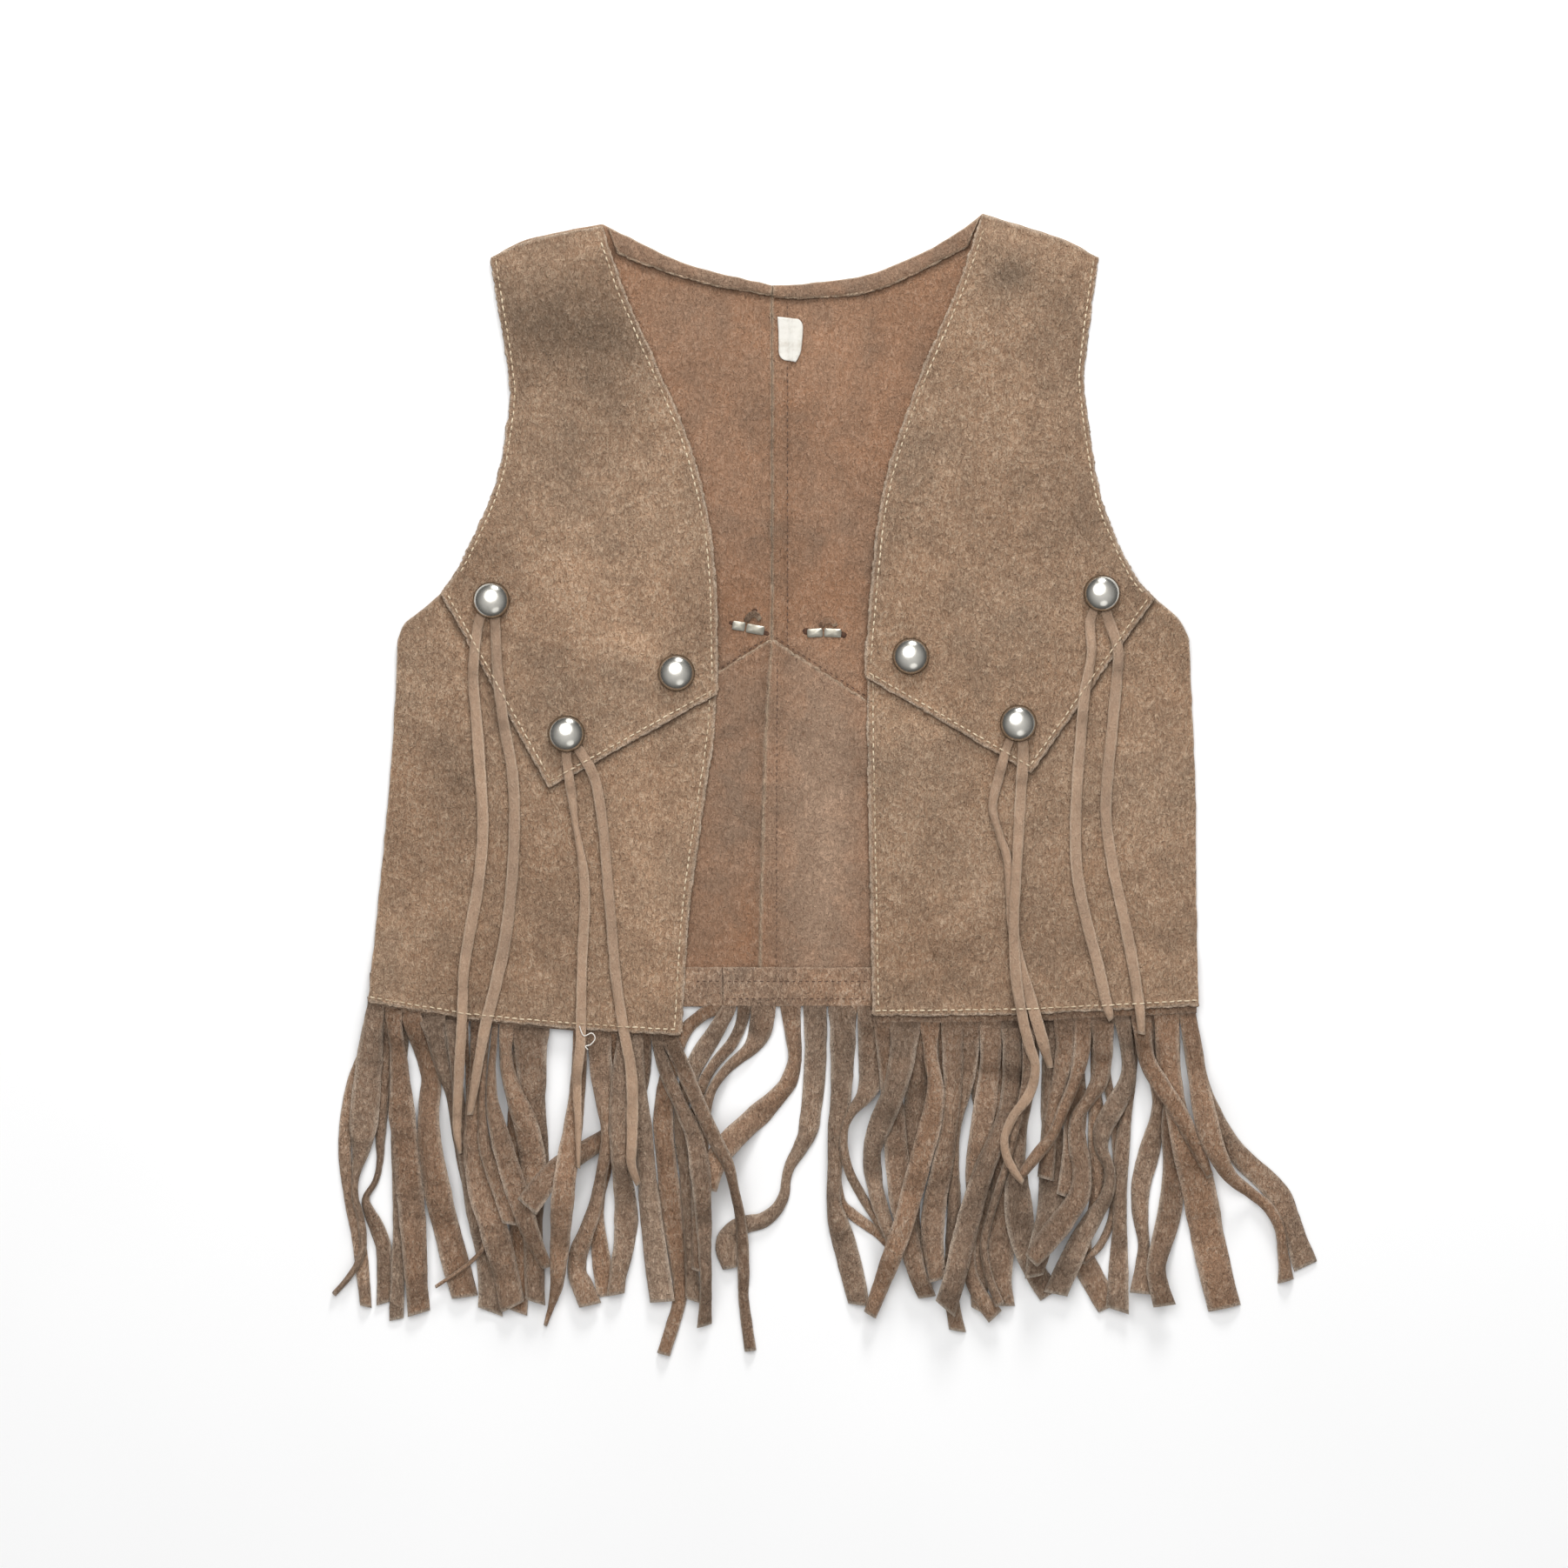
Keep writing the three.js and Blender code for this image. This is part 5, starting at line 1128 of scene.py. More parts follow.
def build_back_yoke(side, back):
    edges = (
        smooth_sections(back["shoulder"], back["neck"]),
        straight_sections(back["yokeEdge"]),
        smooth_sections(back["armhole"]),
        smooth_sections(back["centreHigh"]),
    )
    strip = to_mm([[back["centreHigh"][0][0] + STRIP_PX, y] for y in (300, 800)])
    under_hem = to_mm(NECK_HEMS[side]["bottom"])
    over_lap = to_mm(back["lowerEdge"])
    seam = to_mm([back["centreHigh"][0], back["centreHigh"][-1]])
    shadows = [(under_hem, 0.9, 2.6, 2), (over_lap, 0.4, 2.2, 2), (seam, 0.45, 1.6, 2)]
    thickness = SUEDE
    if side == "right":
        shadows.append((strip, 0.16, 2.0, 2))
        thickness = raised_beside_seam(strip, *[to_y(row) for row in STRIP_ON_YOKE])
    build_panel(
        f"back_yoke_{side}", edges, back_waves, thickness, "suede_back", BACK_PATCHES, 50,
        extra=YOKE_STEP_STATIONS, base_warm=0.2, base_shade=BACK_SHADE, shadows=shadows,
    )


def build_back_lower(side, back):
    edges = (
        straight_sections(back["lowerEdge"]),
        straight_sections(back["hem"]),
        smooth_sections(back["armholeLow"], back["side"]),
        smooth_sections(back["centreLow"][:2], back["centreLow"][1:]),
    )
    seam = smooth_line(to_mm(back["centreLow"]))
    if side == "right":
        shadows = []
        strip = seam + np.array([STRIP_PX * MM_PER_PX, 0])
        thickness = raised_beside_seam(strip, *[to_y(row) for row in STRIP_ON_LOWER])
    else:
        shadows = [(seam, 0.35, 5, 2), (seam, 0.7, 1.8, 2)]
        thickness = SUEDE
    build_panel(
        f"back_lower_{side}", edges, back_lower_underside(back), thickness, "suede_back", BACK_PATCHES, 55,
        extra=LOWER_STEP_STATIONS, base_warm=0.1, base_shade=BACK_SHADE, shadows=shadows,
    )


# The neck hem's roll, its puckers and the fold that bulges beside the centre seam
HEM_ROLL = 0.9
HEM_PUCKERS = 0.5
HEM_BULGE = {"x": 900, "wide": 5, "high": 1.1}


def build_neck_hem(side, hem):
    edges = (
        smooth_sections(hem["top"]),
        smooth_sections(hem["bottom"]),
        smooth_sections([hem["top"][0], hem["bottom"][0]]),
        smooth_sections([hem["top"][-1], hem["bottom"][-1]]),
    )
    top_line = coarse(edges[0][0])
    bottom_line = coarse(edges[1][0])

    def flat(x, y):
        return np.full(np.shape(x), level(1))

    def rolled(x, y):
        above = distance_to_line(top_line, x, y)
        below = distance_to_line(bottom_line, x, y)
        share = above / (above + below + 1e-6)
        puckers = HEM_PUCKERS * noise(x, y, 5, 71) * share
        from_bulge = (x - to_x(HEM_BULGE["x"])) / HEM_BULGE["wide"]
        bulge = HEM_BULGE["high"] * np.exp(-from_bulge ** 2) * share
        return SUEDE + HEM_ROLL * np.sin(math.pi * clamp01(share)) ** 0.7 + puckers + bulge

    build_panel(
        f"neck_hem_{side}", edges, flat, rolled, "suede_back", BACK_PATCHES, 58,
        cells=(1.2, 0.8), base_shade=BACK_SHADE, base_warm=-0.15,
    )


FRONT_SHADE = 0.03
FRONT_SEEDS = {"left": 80, "right": 90}


def build_front(side, front):
    """Lower piece of a front, and the yoke that laps over it"""
    undersides = front_undersides(front, BACKS[side])
    laces = [rows for name, pair in THONGS.items() if name.startswith(side) for rows in pair]
    # Painted shadows: beside the laces, and on the lower piece under the yoke's lapped edge
    beside_laces = [(coarse(smooth_line(to_mm(in_threes(rows)))[:, :2]), 0.2, 4.3, 4) for rows in laces]
    under_lap = [(to_mm(front["point"]), 0.85, 2.2, 2), *beside_laces]
    hem = front["hem"]
    lower_edges = (
        straight_sections(front["lap"]),
        smooth_sections(hem[:2], hem[1:]),
        smooth_sections(front["armholeLow"], front["side"]),
        smooth_sections(front["innerLow"][:2], front["innerLow"][1:]),
    )
    yoke_edges = (
        smooth_sections(front["shoulder"][:2], front["shoulder"][1:]),
        straight_sections(front["point"]),
        smooth_sections(front["armhole"]),
        smooth_sections(front["innerHigh"]),
    )
    for part, edges, shadows in (("lower", lower_edges, under_lap), ("yoke", yoke_edges, beside_laces)):
        build_panel(
            f"front_{part}_{side}", edges, undersides[part], SUEDE, "suede_front", FRONT_PATCHES,
            FRONT_SEEDS[side], base_shade=FRONT_SHADE, shadows=shadows,
        )


# Closed forms over rings of points
def ring_mesh(rings, ends=None):
    """Closed mesh over rings. Its ends are polygons, or fans round the two end points given."""
    sides = len(rings[0])
    last = (len(rings) - 1) * sides
    faces = [face[::-1] for face in grid_faces(len(rings), sides, wrap=True)]
    vertices = np.concatenate(rings)
    if ends is None:
        faces.append(tuple(reversed(range(sides))))
        faces.append(tuple(range(last, last + sides)))
        return vertices, faces
    low_end = len(vertices)
    for i in range(sides):
        following = (i + 1) % sides
        faces.append((low_end, following, i))
        faces.append((low_end + 1, last + i, last + following))
    return np.vstack([vertices, ends]), faces


def round_angles(sides):
    return np.arange(sides) * 2 * math.pi / sides


def tube_mesh(points, radii):
    """Closed tube along points in millimetres. Each row of radii goes round one point."""
    ahead = np.gradient(points, axis=0)
    ahead /= np.maximum(np.linalg.norm(ahead, axis=1), 1e-6)[:, None]
    aside = np.column_stack([-ahead[:, 1], ahead[:, 0], np.zeros(len(points))])
    aside /= np.maximum(np.linalg.norm(aside, axis=1), 1e-6)[:, None]
    upward = np.cross(ahead, aside)
    angles = round_angles(radii.shape[1])[None, :, None]
    reach = np.cos(angles) * aside[:, None, :] + np.sin(angles) * upward[:, None, :]
    return ring_mesh(points[:, None, :] + radii[:, :, None] * reach)


def joined(meshes):
    """Several meshes as one"""
    faces = []
    start = 0
    for points, own_faces, _ in meshes:
        faces += [tuple(start + i for i in face) for face in own_faces]
        start += len(points)
    attributes = {key: np.concatenate([own[key] for _, _, own in meshes]) for key in meshes[0][2]}
    return np.concatenate([points for points, _, _ in meshes]), faces, attributes


# Worn edges: the frayed nap along a cut edge, as a thin lumpy cord of suede
FRAY_STEP = 0.85
FRAY_SIDES = 6
FRAY_WANDER = 0.3


def build_fray(name, lines, look, radius, seed):
    meshes = []
    for k, line in enumerate(lines):
        points = points_at(line, np.arange(0, line_runs(line)[-1], FRAY_STEP))
        x, y = points[:, 0].copy(), points[:, 1].copy()
        radii = np.empty((len(points), FRAY_SIDES))
        for side in range(FRAY_SIDES):
            lumps = 0.6 * noise(x, y, 1.3, seed + 7 * k + side) + 0.3 * noise(x, y, 4, seed + 7 * k)
            radii[:, side] = radius * (0.95 + lumps)
        radii[[0, -1]] *= 0.5
        points[:, 0] += FRAY_WANDER * noise(x, y, 1.7, seed + 5)
        points[:, 1] += FRAY_WANDER * noise(x, y, 1.7, seed + 6)
        vertices, faces = tube_mesh(points, radii)
        worn = 0.55 + 0.45 * noise(vertices[:, 0], vertices[:, 1], 1.6, seed + 3)
        tone = 0.12 * noise(vertices[:, 0], vertices[:, 1], 2.2, seed + 4)
        meshes.append((vertices, faces, {"shade": tone, "warm": 0 * tone, "rim": worn}))
    vertices, faces, attributes = joined(meshes)
    add_object(name, vertices, faces, look, attributes)


def build_frays():
    back_lines = [cuts["neck_hem_left"][-1], cuts["neck_hem_right"][-1]]
    back_lines += [cuts["back_lower_left"][0], cuts["back_lower_right"][0], cuts["back_lower_right"][:, -1]]
    build_fray("fray_back", back_lines, "suede_back", 0.78, 600)
    for side in FRONTS:
        yoke = cuts[f"front_yoke_{side}"]
        lower = cuts[f"front_lower_{side}"]
        lines = [yoke[-1], yoke[:, 0], yoke[:, -1], lower[-1], lower[:, -1]]
        build_fray(f"fray_front_{side}", lines, "suede_front", 0.72, 620)


# Strands of hide: sweeps with a curled section that settle on what was laid before them. Lengths are
# in millimetres, and a pair is a strength and its reach from the root.
STATION = 2.2
STRAND_THICKNESS = 1.25
SECTION = np.array([-1, -0.93, -0.6, -0.2, 0.2, 0.6, 0.93, 1])
SECTION_RIM = np.array([1, 0.5, 0, 0, 0, 0, 0.5, 1])
SECTION_EDGE = np.array([0.35, 0.85, 1, 1, 1, 1, 0.85, 0.35])
STEEPEST = 0.5
BEND = 0.035
PROBES = 13
SIDE_CLEARANCE = 0.3
PILE_CLEARANCE = 0.12
HIGHEST_ARCH = 2.4
ROOT_WIDENING = (0.25, 16)
# Painted shadow where strands crowd at their roots: strength, and reach from the root
ROOT_SHADOW = (0.42, 22)
ROOT_RELEASE = 14
CUP = 0.12
TILT = 0.2
DENTS = 0.22
TIP_SLANT = math.tan(math.radians(25))
TIP_REACH = 10
STRAND_TONES = 0.34
STRAND_WARMTH = 0.6
FAR_SIDE_SHADE = 0.34


def heights_above(needs, runs):
    """Lowest gentle line over what a strand has to clear"""
    apart = np.abs(runs[:, None] - runs[None, :])
    turn = STEEPEST / (2 * BEND)
    drop = np.where(apart < turn, BEND * apart ** 2, BEND * turn ** 2 + STEEPEST * (apart - turn))
    return (needs[None, :] - drop).max(axis=1)


def settled_heights(centre, aside, widths, runs, held, root_height):
    """Underside of a strand that is held at its root and lies on the pile beyond it"""
    needs = np.full(len(runs), STAND_OFF)
    for offset in np.linspace(-1, 1, PROBES):
        reach = offset * (widths / 2 + SIDE_CLEARANCE)
        probe = centre + aside * reach[:, None]
        needs = np.maximum(needs, pile[cells_of(probe[:, 0], probe[:, 1])] + PILE_CLEARANCE)
    widened = needs.copy()
    widened[1:] = np.maximum(widened[1:], needs[:-1])
    widened[:-1] = np.maximum(widened[:-1], needs[1:])
    widened[runs <= held] = root_height
    base = heights_above(widened, runs)
    base[runs <= held] = root_height
    return base


def strand_mesh(
    rows, root_height, held, seed, thickness=STRAND_THICKNESS, curl=1.0, shade=0.0, tones=1.0,
):
    """Vertices, faces and attributes of one strand"""
    line = smooth_line(to_mm(rows))
    total = line_runs(line)[-1]
    runs = np.linspace(0, total, max(6, math.ceil(total / STATION)))

    def uneven(size, lane, offset):
        """Noise along this strand"""
        return noise(runs, lane * seed, size, seed + offset)

    def near_root(reach):
        return np.exp(-np.maximum(runs - held, 0) / reach)

    points = points_at(line, runs)
    centre = points[:, :2]
    widths = points[:, 2] * (1 + 0.05 * uneven(9, 1, 0))
    widths = widths * (1 + ROOT_WIDENING[0] * tones * near_root(ROOT_WIDENING[1]))
    ahead = line_directions(points)
    aside = np.stack([-ahead[:, 1], ahead[:, 0]], axis=1)
    base = settled_heights(centre, aside, widths, runs, held, root_height)

    # Where a strand narrows it is seen folded, so it arches
    cut_width = np.maximum(np.quantile(widths, 0.8), widths)
    crowd = np.maximum(cut_width / np.maximum(widths, 0.8) - 1, 0)
    arch = np.minimum(widths * np.sqrt(0.375 * np.minimum(crowd, 1.2)), HIGHEST_ARCH)[:, None]
    blend = soft_step((runs - held) / ROOT_RELEASE)
    lean = uneven(38, 7, 31)
    cup = (CUP * widths * uneven(30, 3, 17))[:, None]
    tilt = (TILT * widths * lean)[:, None]
    dents = (DENTS * uneven(8, 5, 23))[:, None]
    u = SECTION[None, :]
    middle = (
        arch * (1 - u ** 2)
        + np.where(cup > 0, cup * (1 - u ** 2), -cup * u ** 2)
        + np.abs(tilt) / 2 + tilt * u / 2
        + (dents + DENTS) * (1 - 0.5 * u ** 2)
    ) * (blend * curl)[:, None]

    slant = TIP_SLANT * float(noise(seed, seed, 1, seed + 3))
    tip = soft_step((runs - total + TIP_REACH) / TIP_REACH)
    across = centre[:, None, :] + aside[:, None, :] * (u * widths[:, None] / 2)[..., None]
    across = across + ahead[:, None, :] * (u * (slant * tip * widths / 2)[:, None])[..., None]
    across[..., 0] += 0.14 * noise(across[..., 0], across[..., 1], 3, seed + 41)
    thick = thickness * SECTION_EDGE[None, :] * np.ones(len(runs))[:, None]
    thick[0] *= 0.5
    thick[-1] *= 0.6
    core = base[:, None] + middle + thickness / 2
    top = np.dstack([across, core + thick / 2])
    bottom = np.dstack([across, core - thick / 2])
    lay_grid(top)
    ring = np.concatenate([top, bottom[:, ::-1]], axis=1)
    stations, around = ring.shape[:2]
    faces = grid_faces(stations, around, wrap=True)
    for start, turned in ((0, False), ((stations - 1) * around, True)):
        for i in range(around // 2 - 1):
            face = (start + i, start + i + 1, start + around - 2 - i, start + around - 1 - i)
            faces.append(face[::-1] if turned else face)

    def both_sides(values):
        return np.concatenate([values, values[:, ::-1]], axis=1)

    rim = both_sides(np.tile(SECTION_RIM, (stations, 1))) * (0.25 + 0.75 * blend)[:, None]
    # Painted highlight: the rim on the side that the tilt raises stays pale, and on the lowered side it is
    # dimmed
    rim *= both_sides(np.where(u * np.sign(lean)[:, None] > 0, 1.0, 0.45))
    rim[-1] = 1
    own_shade = shade + tones * STRAND_TONES * float(noise(seed * 1.7, 3.3, 1, 61)) + 0.08 * uneven(26, 1, 51)
    # Painted shadow near the root, where the strands crowd under the hem
    own_shade = own_shade - tones * ROOT_SHADOW[0] * near_root(ROOT_SHADOW[1])
    # Painted shade on the side of a strand that the tilt lowers
    far_side = np.clip(-u * np.sign(lean)[:, None], 0, 1) ** 1.5
    turned_away = far_side * (0.5 + 0.5 * np.abs(lean))[:, None] * blend[:, None]
    attributes = {
        "shade": both_sides(own_shade[:, None] + tones * (0.05 - FAR_SIDE_SHADE * turned_away)).ravel(),
        "warm": np.full(stations * around, tones * STRAND_WARMTH * float(noise(seed * 2.3, 9.1, 1, 67))),
        "rim": rim.ravel(),
    }
    return ring.reshape(-1, 3), faces, attributes


# Fringe: a sewn strip with its strands
ROOT_DEPTH_PX = 12
ROOT_HELD = 8
STRIP_WEAR = 0.25
STRIP_CELLS = (SHEET_CELL, 1.5)
BACK_STRIP_SHADE = 0.24
# Front strips are painted darker, as shade where they show just under the fronts' hems
FRONT_STRIP_SHADOW = -0.1


def build_fringe(name, strip_edges, base, strip_shade, strands, rests_on, seed):
    plan = sheet_plan(strip_edges, STRIP_CELLS)

    def underside(x, y):
        rough = 0.3 * (1 + noise(x, y, 7, seed)) + 0.3 * (1 + noise(x, y, 3.5, seed + 1))
        return base + rough * soft_step((y - plan[..., 1].min()) / 8)

    vertices, faces, attributes = sheet_mesh(plan, underside, SUEDE, [], seed, base_shade=strip_shade)
    attributes["rim"] *= STRIP_WEAR
    strip = add_object(f"{name}_strip", vertices, faces, "suede_fringe", attributes)
    parts = []
    for i, numbers in enumerate(strands):
        rows = in_threes(numbers)
        root = rows[0] - [0, ROOT_DEPTH_PX, 0]
        parts.append(strand_mesh([root, *rows], base + 0.12, ROOT_HELD, seed + 13 * i + 1))
    vertices, faces, attributes = joined(parts)
    loose = add_object(f"{name}_strands", vertices, faces, "suede_fringe", attributes)
    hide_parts(name)


def back_strip_edges(left, right):
    top = BACK_STRIP["top"]
    bottom = BACK_STRIP["bottom"]
    corners = ([[left, top], [right, top]], [[left, bottom], [right, bottom]])
    sides = ([[left, top], [left, bottom]], [[right, top], [right, bottom]])
    return tuple(smooth_sections(rows) for rows in (*corners, *sides))


def front_strip_edges(hem, below):
    inset = FRONT_STRIP["inset"] / MM_PER_PX
    inward = math.copysign(inset, hem[-1][0] - hem[0][0])
    trimmed = [[hem[0][0] + inward, hem[0][1]], *hem[1:-1], [hem[-1][0] - inward, hem[-1][1]]]

    def shifted(shift):
        return [[x, y + shift / MM_PER_PX] for x, y in trimmed]

    top = shifted(-FRONT_STRIP["above"])
    bottom = shifted(below)
    sides = ([top[0], bottom[0]], [top[-1], bottom[-1]])
    return tuple(smooth_sections(rows) for rows in (top, bottom, *sides))


def build_fringes():
    half_gap = GAP / 2 / MM_PER_PX
    joint = BACK_STRIP["joint"]
    back = (level(1), BACK_STRIP_SHADE)
    front = (level(2), FRONT_STRIP_SHADOW)
    edges = back_strip_edges(BACK_STRIP["left"], joint - half_gap)
    build_fringe("fringe_back_left", edges, *back, BACK_STRANDS_LEFT, "back_lower_left", 100)
    edges = back_strip_edges(joint + half_gap, BACK_STRIP["right"])
    build_fringe("fringe_back_right", edges, *back, BACK_STRANDS_RIGHT, "back_lower_right", 200)
    edges = front_strip_edges(FRONT_LEFT["hem"], FRONT_STRIP["belowLeft"])
    build_fringe("fringe_front_left", edges, *front, FRONT_STRANDS_LEFT, "fringe_back_left", 300)
    edges = front_strip_edges(FRONT_RIGHT["hem"], FRONT_STRIP["belowRight"])
    build_fringe("fringe_front_right", edges, *front, FRONT_STRANDS_RIGHT, "fringe_back_right", 400)


# Laces, and the studs over their roots
THONG_HELD = 11
LACE = {"thickness": 1.5, "curl": 0.7, "tones": 0.2}
STUD_SIDES = 64
STUD_RIM = 0.6
DOME_STEPS = 28


def build_laces():
    for i, (name, pair) in enumerate(THONGS.items()):
        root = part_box(f"stud_{name}")[0].z * 1000 - PITCH
        seeds = [500 + 20 * i + 7 * j for j in range(len(pair))]
        parts = []
        for numbers, seed in zip(pair, seeds):
            parts.append(strand_mesh(in_threes(numbers), root, THONG_HELD, seed, **LACE))
        vertices, faces, attributes = joined(parts)
        lace = add_object(f"thongs_{name}_lace", vertices, faces, "suede_lace", attributes, "lace")
        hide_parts(f"thongs_{name}")


def dome_mesh(centre, low):
    """Turned-in rim and a round dome"""
    profile = [(STUD_RADIUS - 0.6, 0), (STUD_RADIUS - 0.15, 0.2), (STUD_RADIUS, STUD_RIM)]
    for i in range(1, DOME_STEPS):
        angle = math.pi / 2 * i / DOME_STEPS
        height = STUD_RIM + (STUD_HEIGHT - STUD_RIM) * math.sin(angle)
        profile.append((STUD_RADIUS * math.cos(angle), height))
    angles = np.linspace(0, 2 * math.pi, STUD_SIDES, endpoint=False)
    rings = []
    for radius, height in profile:
        x = centre[0] + radius * np.cos(angles)
        y = centre[1] + radius * np.sin(angles)
        rings.append(np.column_stack([x, y, np.full(STUD_SIDES, low + height)]))
    return ring_mesh(rings, [[*centre, low], [*centre, low + STUD_HEIGHT]])


def build_studs():
    for name, place in STUDS.items():
        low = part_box(f"stud_{name}")[0].z * 1000
        centre = (to_x(place[0]), to_y(place[1]))
        vertices, faces = dome_mesh(centre, low)
        from_axis = np.hypot(vertices[:, 0] - centre[0], vertices[:, 1] - centre[1]) / STUD_RADIUS
        # Painted dark edge round the dome, for its contact shadow and dark reflection
        painted_rim_shadow = {"rim": 0.85 * soft_step((from_axis - 0.9) / 0.09)}
        dome = add_object(f"stud_{name}_dome", vertices, faces, "stud_nickel", painted_rim_shadow, "stud")
        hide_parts(f"stud_{name}")


# Small things on the inside of the back
PRONG = {"low": 0.1, "thickness": 0.8, "bevel": 0.2, "bow": 0.08}
PRONG_CORNER = 0.9
SLIT = {"low": -0.3, "thickness": 0.38, "bevel": 0.05}
SLIT_ROUND = 0.45


def surface_height(x, y):
    return float(pile[cells_of(x, y)])


def plate_mesh(outline, low, thickness, bevel, bow=0.0):
    """Closed plate over a convex outline, with a bevelled top that may be bowed"""
    outline = np.asarray(outline, float)
    middle = outline.mean(axis=0)
    away = outline - middle
    length = np.linalg.norm(away, axis=1)[:, None]
    rings = []
    for inset, height in ((0.15, 0), (0, 0.15), (0, thickness - bevel), (bevel, thickness)):
        points = middle + away * (1 - inset / length)
        lift = bow * (1 - (np.linalg.norm(points - middle, axis=1) / length.max()) ** 2)
        rings.append(np.column_stack([points, low + height + lift]))
    return ring_mesh(rings, [[*middle, low + bow], [*middle, low + thickness + bow]])


def rounded_bar(centre, long, wide, corner, tilt):
    """Outline of a bar with rounded corners, counterclockwise"""
    points = []
    turn = math.radians(tilt)
    for sx, sy, start in ((1, -1, -90), (1, 1, 0), (-1, 1, 90), (-1, -1, 180)):
        for step in range(5):
            angle = math.radians(start + 90 * step / 4)
            x = sx * (long / 2 - corner) + corner * math.cos(angle)
            y = sy * (wide / 2 - corner) + corner * math.sin(angle)
            points.append((
                centre[0] + x * math.cos(turn) - y * math.sin(turn),
                centre[1] + x * math.sin(turn) + y * math.cos(turn),
            ))
    return points


def build_bar(name, row, corner, look, slot, low, **plate):
    """A small plate of rounded outline on what is laid there"""
    x, y, long, wide, tilt = row
    centre = (to_x(x), to_y(y))
    outline = rounded_bar(centre, long * MM_PER_PX, wide * MM_PER_PX, corner, tilt)
    vertices, faces = plate_mesh(outline, surface_height(*centre) + low, **plate)
    return add_object(name, vertices, faces, look, slot=slot)


def build_fastenings():
    for name, *row in PRONGS:
        tab = build_bar(f"{name}_tab", row, PRONG_CORNER, "prong_nickel", "prong", **PRONG)
        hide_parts(name)
    for name, *row in SLITS:
        corner = SLIT_ROUND * min(row[2], row[3]) * MM_PER_PX
        build_bar(name, row, corner, "slit_shadow", "suede_back", **SLIT)
    for i, (name, numbers) in enumerate(LOOPS.items()):
        vertices, faces, attributes = strand_mesh(
            in_threes(numbers), level(1) + 0.3, 1, 700 + i, thickness=1.0, curl=0.5, shade=0.1,
        )
        lace = add_object(f"{name}_lace", vertices, faces, "suede_back", attributes, "suede_fringe")
        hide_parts(name)


# Label: a bare tape with one lengthwise crease and a lifted corner
LABEL_THICKNESS = 0.5
LABEL_CREASE = {"x": 909, "wide": 1.0, "high": 0.7}
LABEL_CURL = {"x": 903, "y": 398, "high": 0.6}


def build_label():
    edges = [smooth_sections(LABEL[key]) for key in ("top", "bottom", "left", "right")]
    plan = blend_sheet(*edges, np.linspace(0, 1, 25), np.linspace(0, 1, 41))
    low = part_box("label")[0].z * 1000

    def underside(x, y):
        from_crease = (x - to_x(LABEL_CREASE["x"])) / LABEL_CREASE["wide"]
        crease = LABEL_CREASE["high"] * np.exp(-from_crease ** 2)
        below = soft_step((to_y(LABEL_CURL["y"]) - y) / 8)
        curl = LABEL_CURL["high"] * below * soft_step((to_x(LABEL_CURL["x"]) - x) / 5)
        return low + crease + curl + 0.12 * noise(x, y, 4, 77)

    vertices, faces, attributes = sheet_mesh(plan, underside, LABEL_THICKNESS + 2 * RIM_ROUND, [], 75)
    label = add_object("label_tape", vertices, faces, "label_cloth", attributes, "label")
    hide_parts("label")


# Stitches that dip into the hide at their ends. Rings: place along, share of the radius, lift.
STITCH_RINGS = [
    (-0.5, 0.35, -0.30),
    (-0.34, 0.9, 0.05),
    (0.0, 1.0, 0.18),
    (0.34, 0.9, 0.05),
    (0.5, 0.35, -0.30),
]
STITCH_SIDES = 6
CREAM = {"length": 3.0, "pitch": 4.2, "radius": 0.42}
BROWN = {"length": 2.2, "pitch": 3.6, "radius": 0.24}


def stitch_row(line, length, pitch, radius, seed):
    """One row of stitches along a line in millimetres"""
    angles = round_angles(STITCH_SIDES)
    meshes = []
    for k, run in enumerate(np.arange(pitch / 2, line_runs(line)[-1], pitch)):
        ends = points_at(line, [run - length / 2, run + length / 2])[:, :2]
        middle = ends.mean(axis=0)
        ahead = ends[1] - ends[0]
        ahead = ahead / max(np.linalg.norm(ahead), 1e-6)
        skew = 0.10 * float(noise(k * 1.9, 2.2, 1, seed))
        ahead = np.array([ahead[0] - skew * ahead[1], ahead[1] + skew * ahead[0]])
        aside = np.array([-ahead[1], ahead[0]])
        middle = middle + aside * 0.18 * float(noise(k * 1.3, 7.7, 1, seed + 1))
        own_length = length * (1 + 0.16 * float(noise(k * 2.1, 5.1, 1, seed + 2)))
        base = max(surface_height(*(middle + ahead * share * own_length)) for share in (-0.4, 0, 0.4))
        rings = []
        for along, wide, lift in STITCH_RINGS:
            place = middle + ahead * along * own_length
            side = radius * wide * np.cos(angles)
            rings.append(np.column_stack([
                place[0] + aside[0] * side,
                place[1] + aside[1] * side,
                base + lift + radius * wide * np.sin(angles),
            ]))
        meshes.append((*ring_mesh(rings), {}))
    return meshes


def inset_line(rows, inset):
    """A smooth line beside another, `inset` millimetres to its left"""
    line = smooth_line(to_mm(rows))
    total = line_runs(line)[-1]
    line = points_at(line, np.linspace(0, total, max(8, int(total / 4))))
    ahead = line_directions(line)
    return line[:, :2] + np.stack([-ahead[:, 1], ahead[:, 0]], axis=1) * inset


def part_of(line, start, end):
    """Stretch of a line between two shares of its length"""
    total = line_runs(line)[-1]
    return points_at(line, np.linspace(start * total, end * total, max(8, int(total * (end - start) / 4))))


def build_stitches(name, lines, look, slot, seed, **size):
    meshes = []
    for k, line in enumerate(lines):
        meshes += stitch_row(line, seed=seed + 10 * k, **size)
    add_object(name, *joined(meshes)[:2], look, slot=slot)


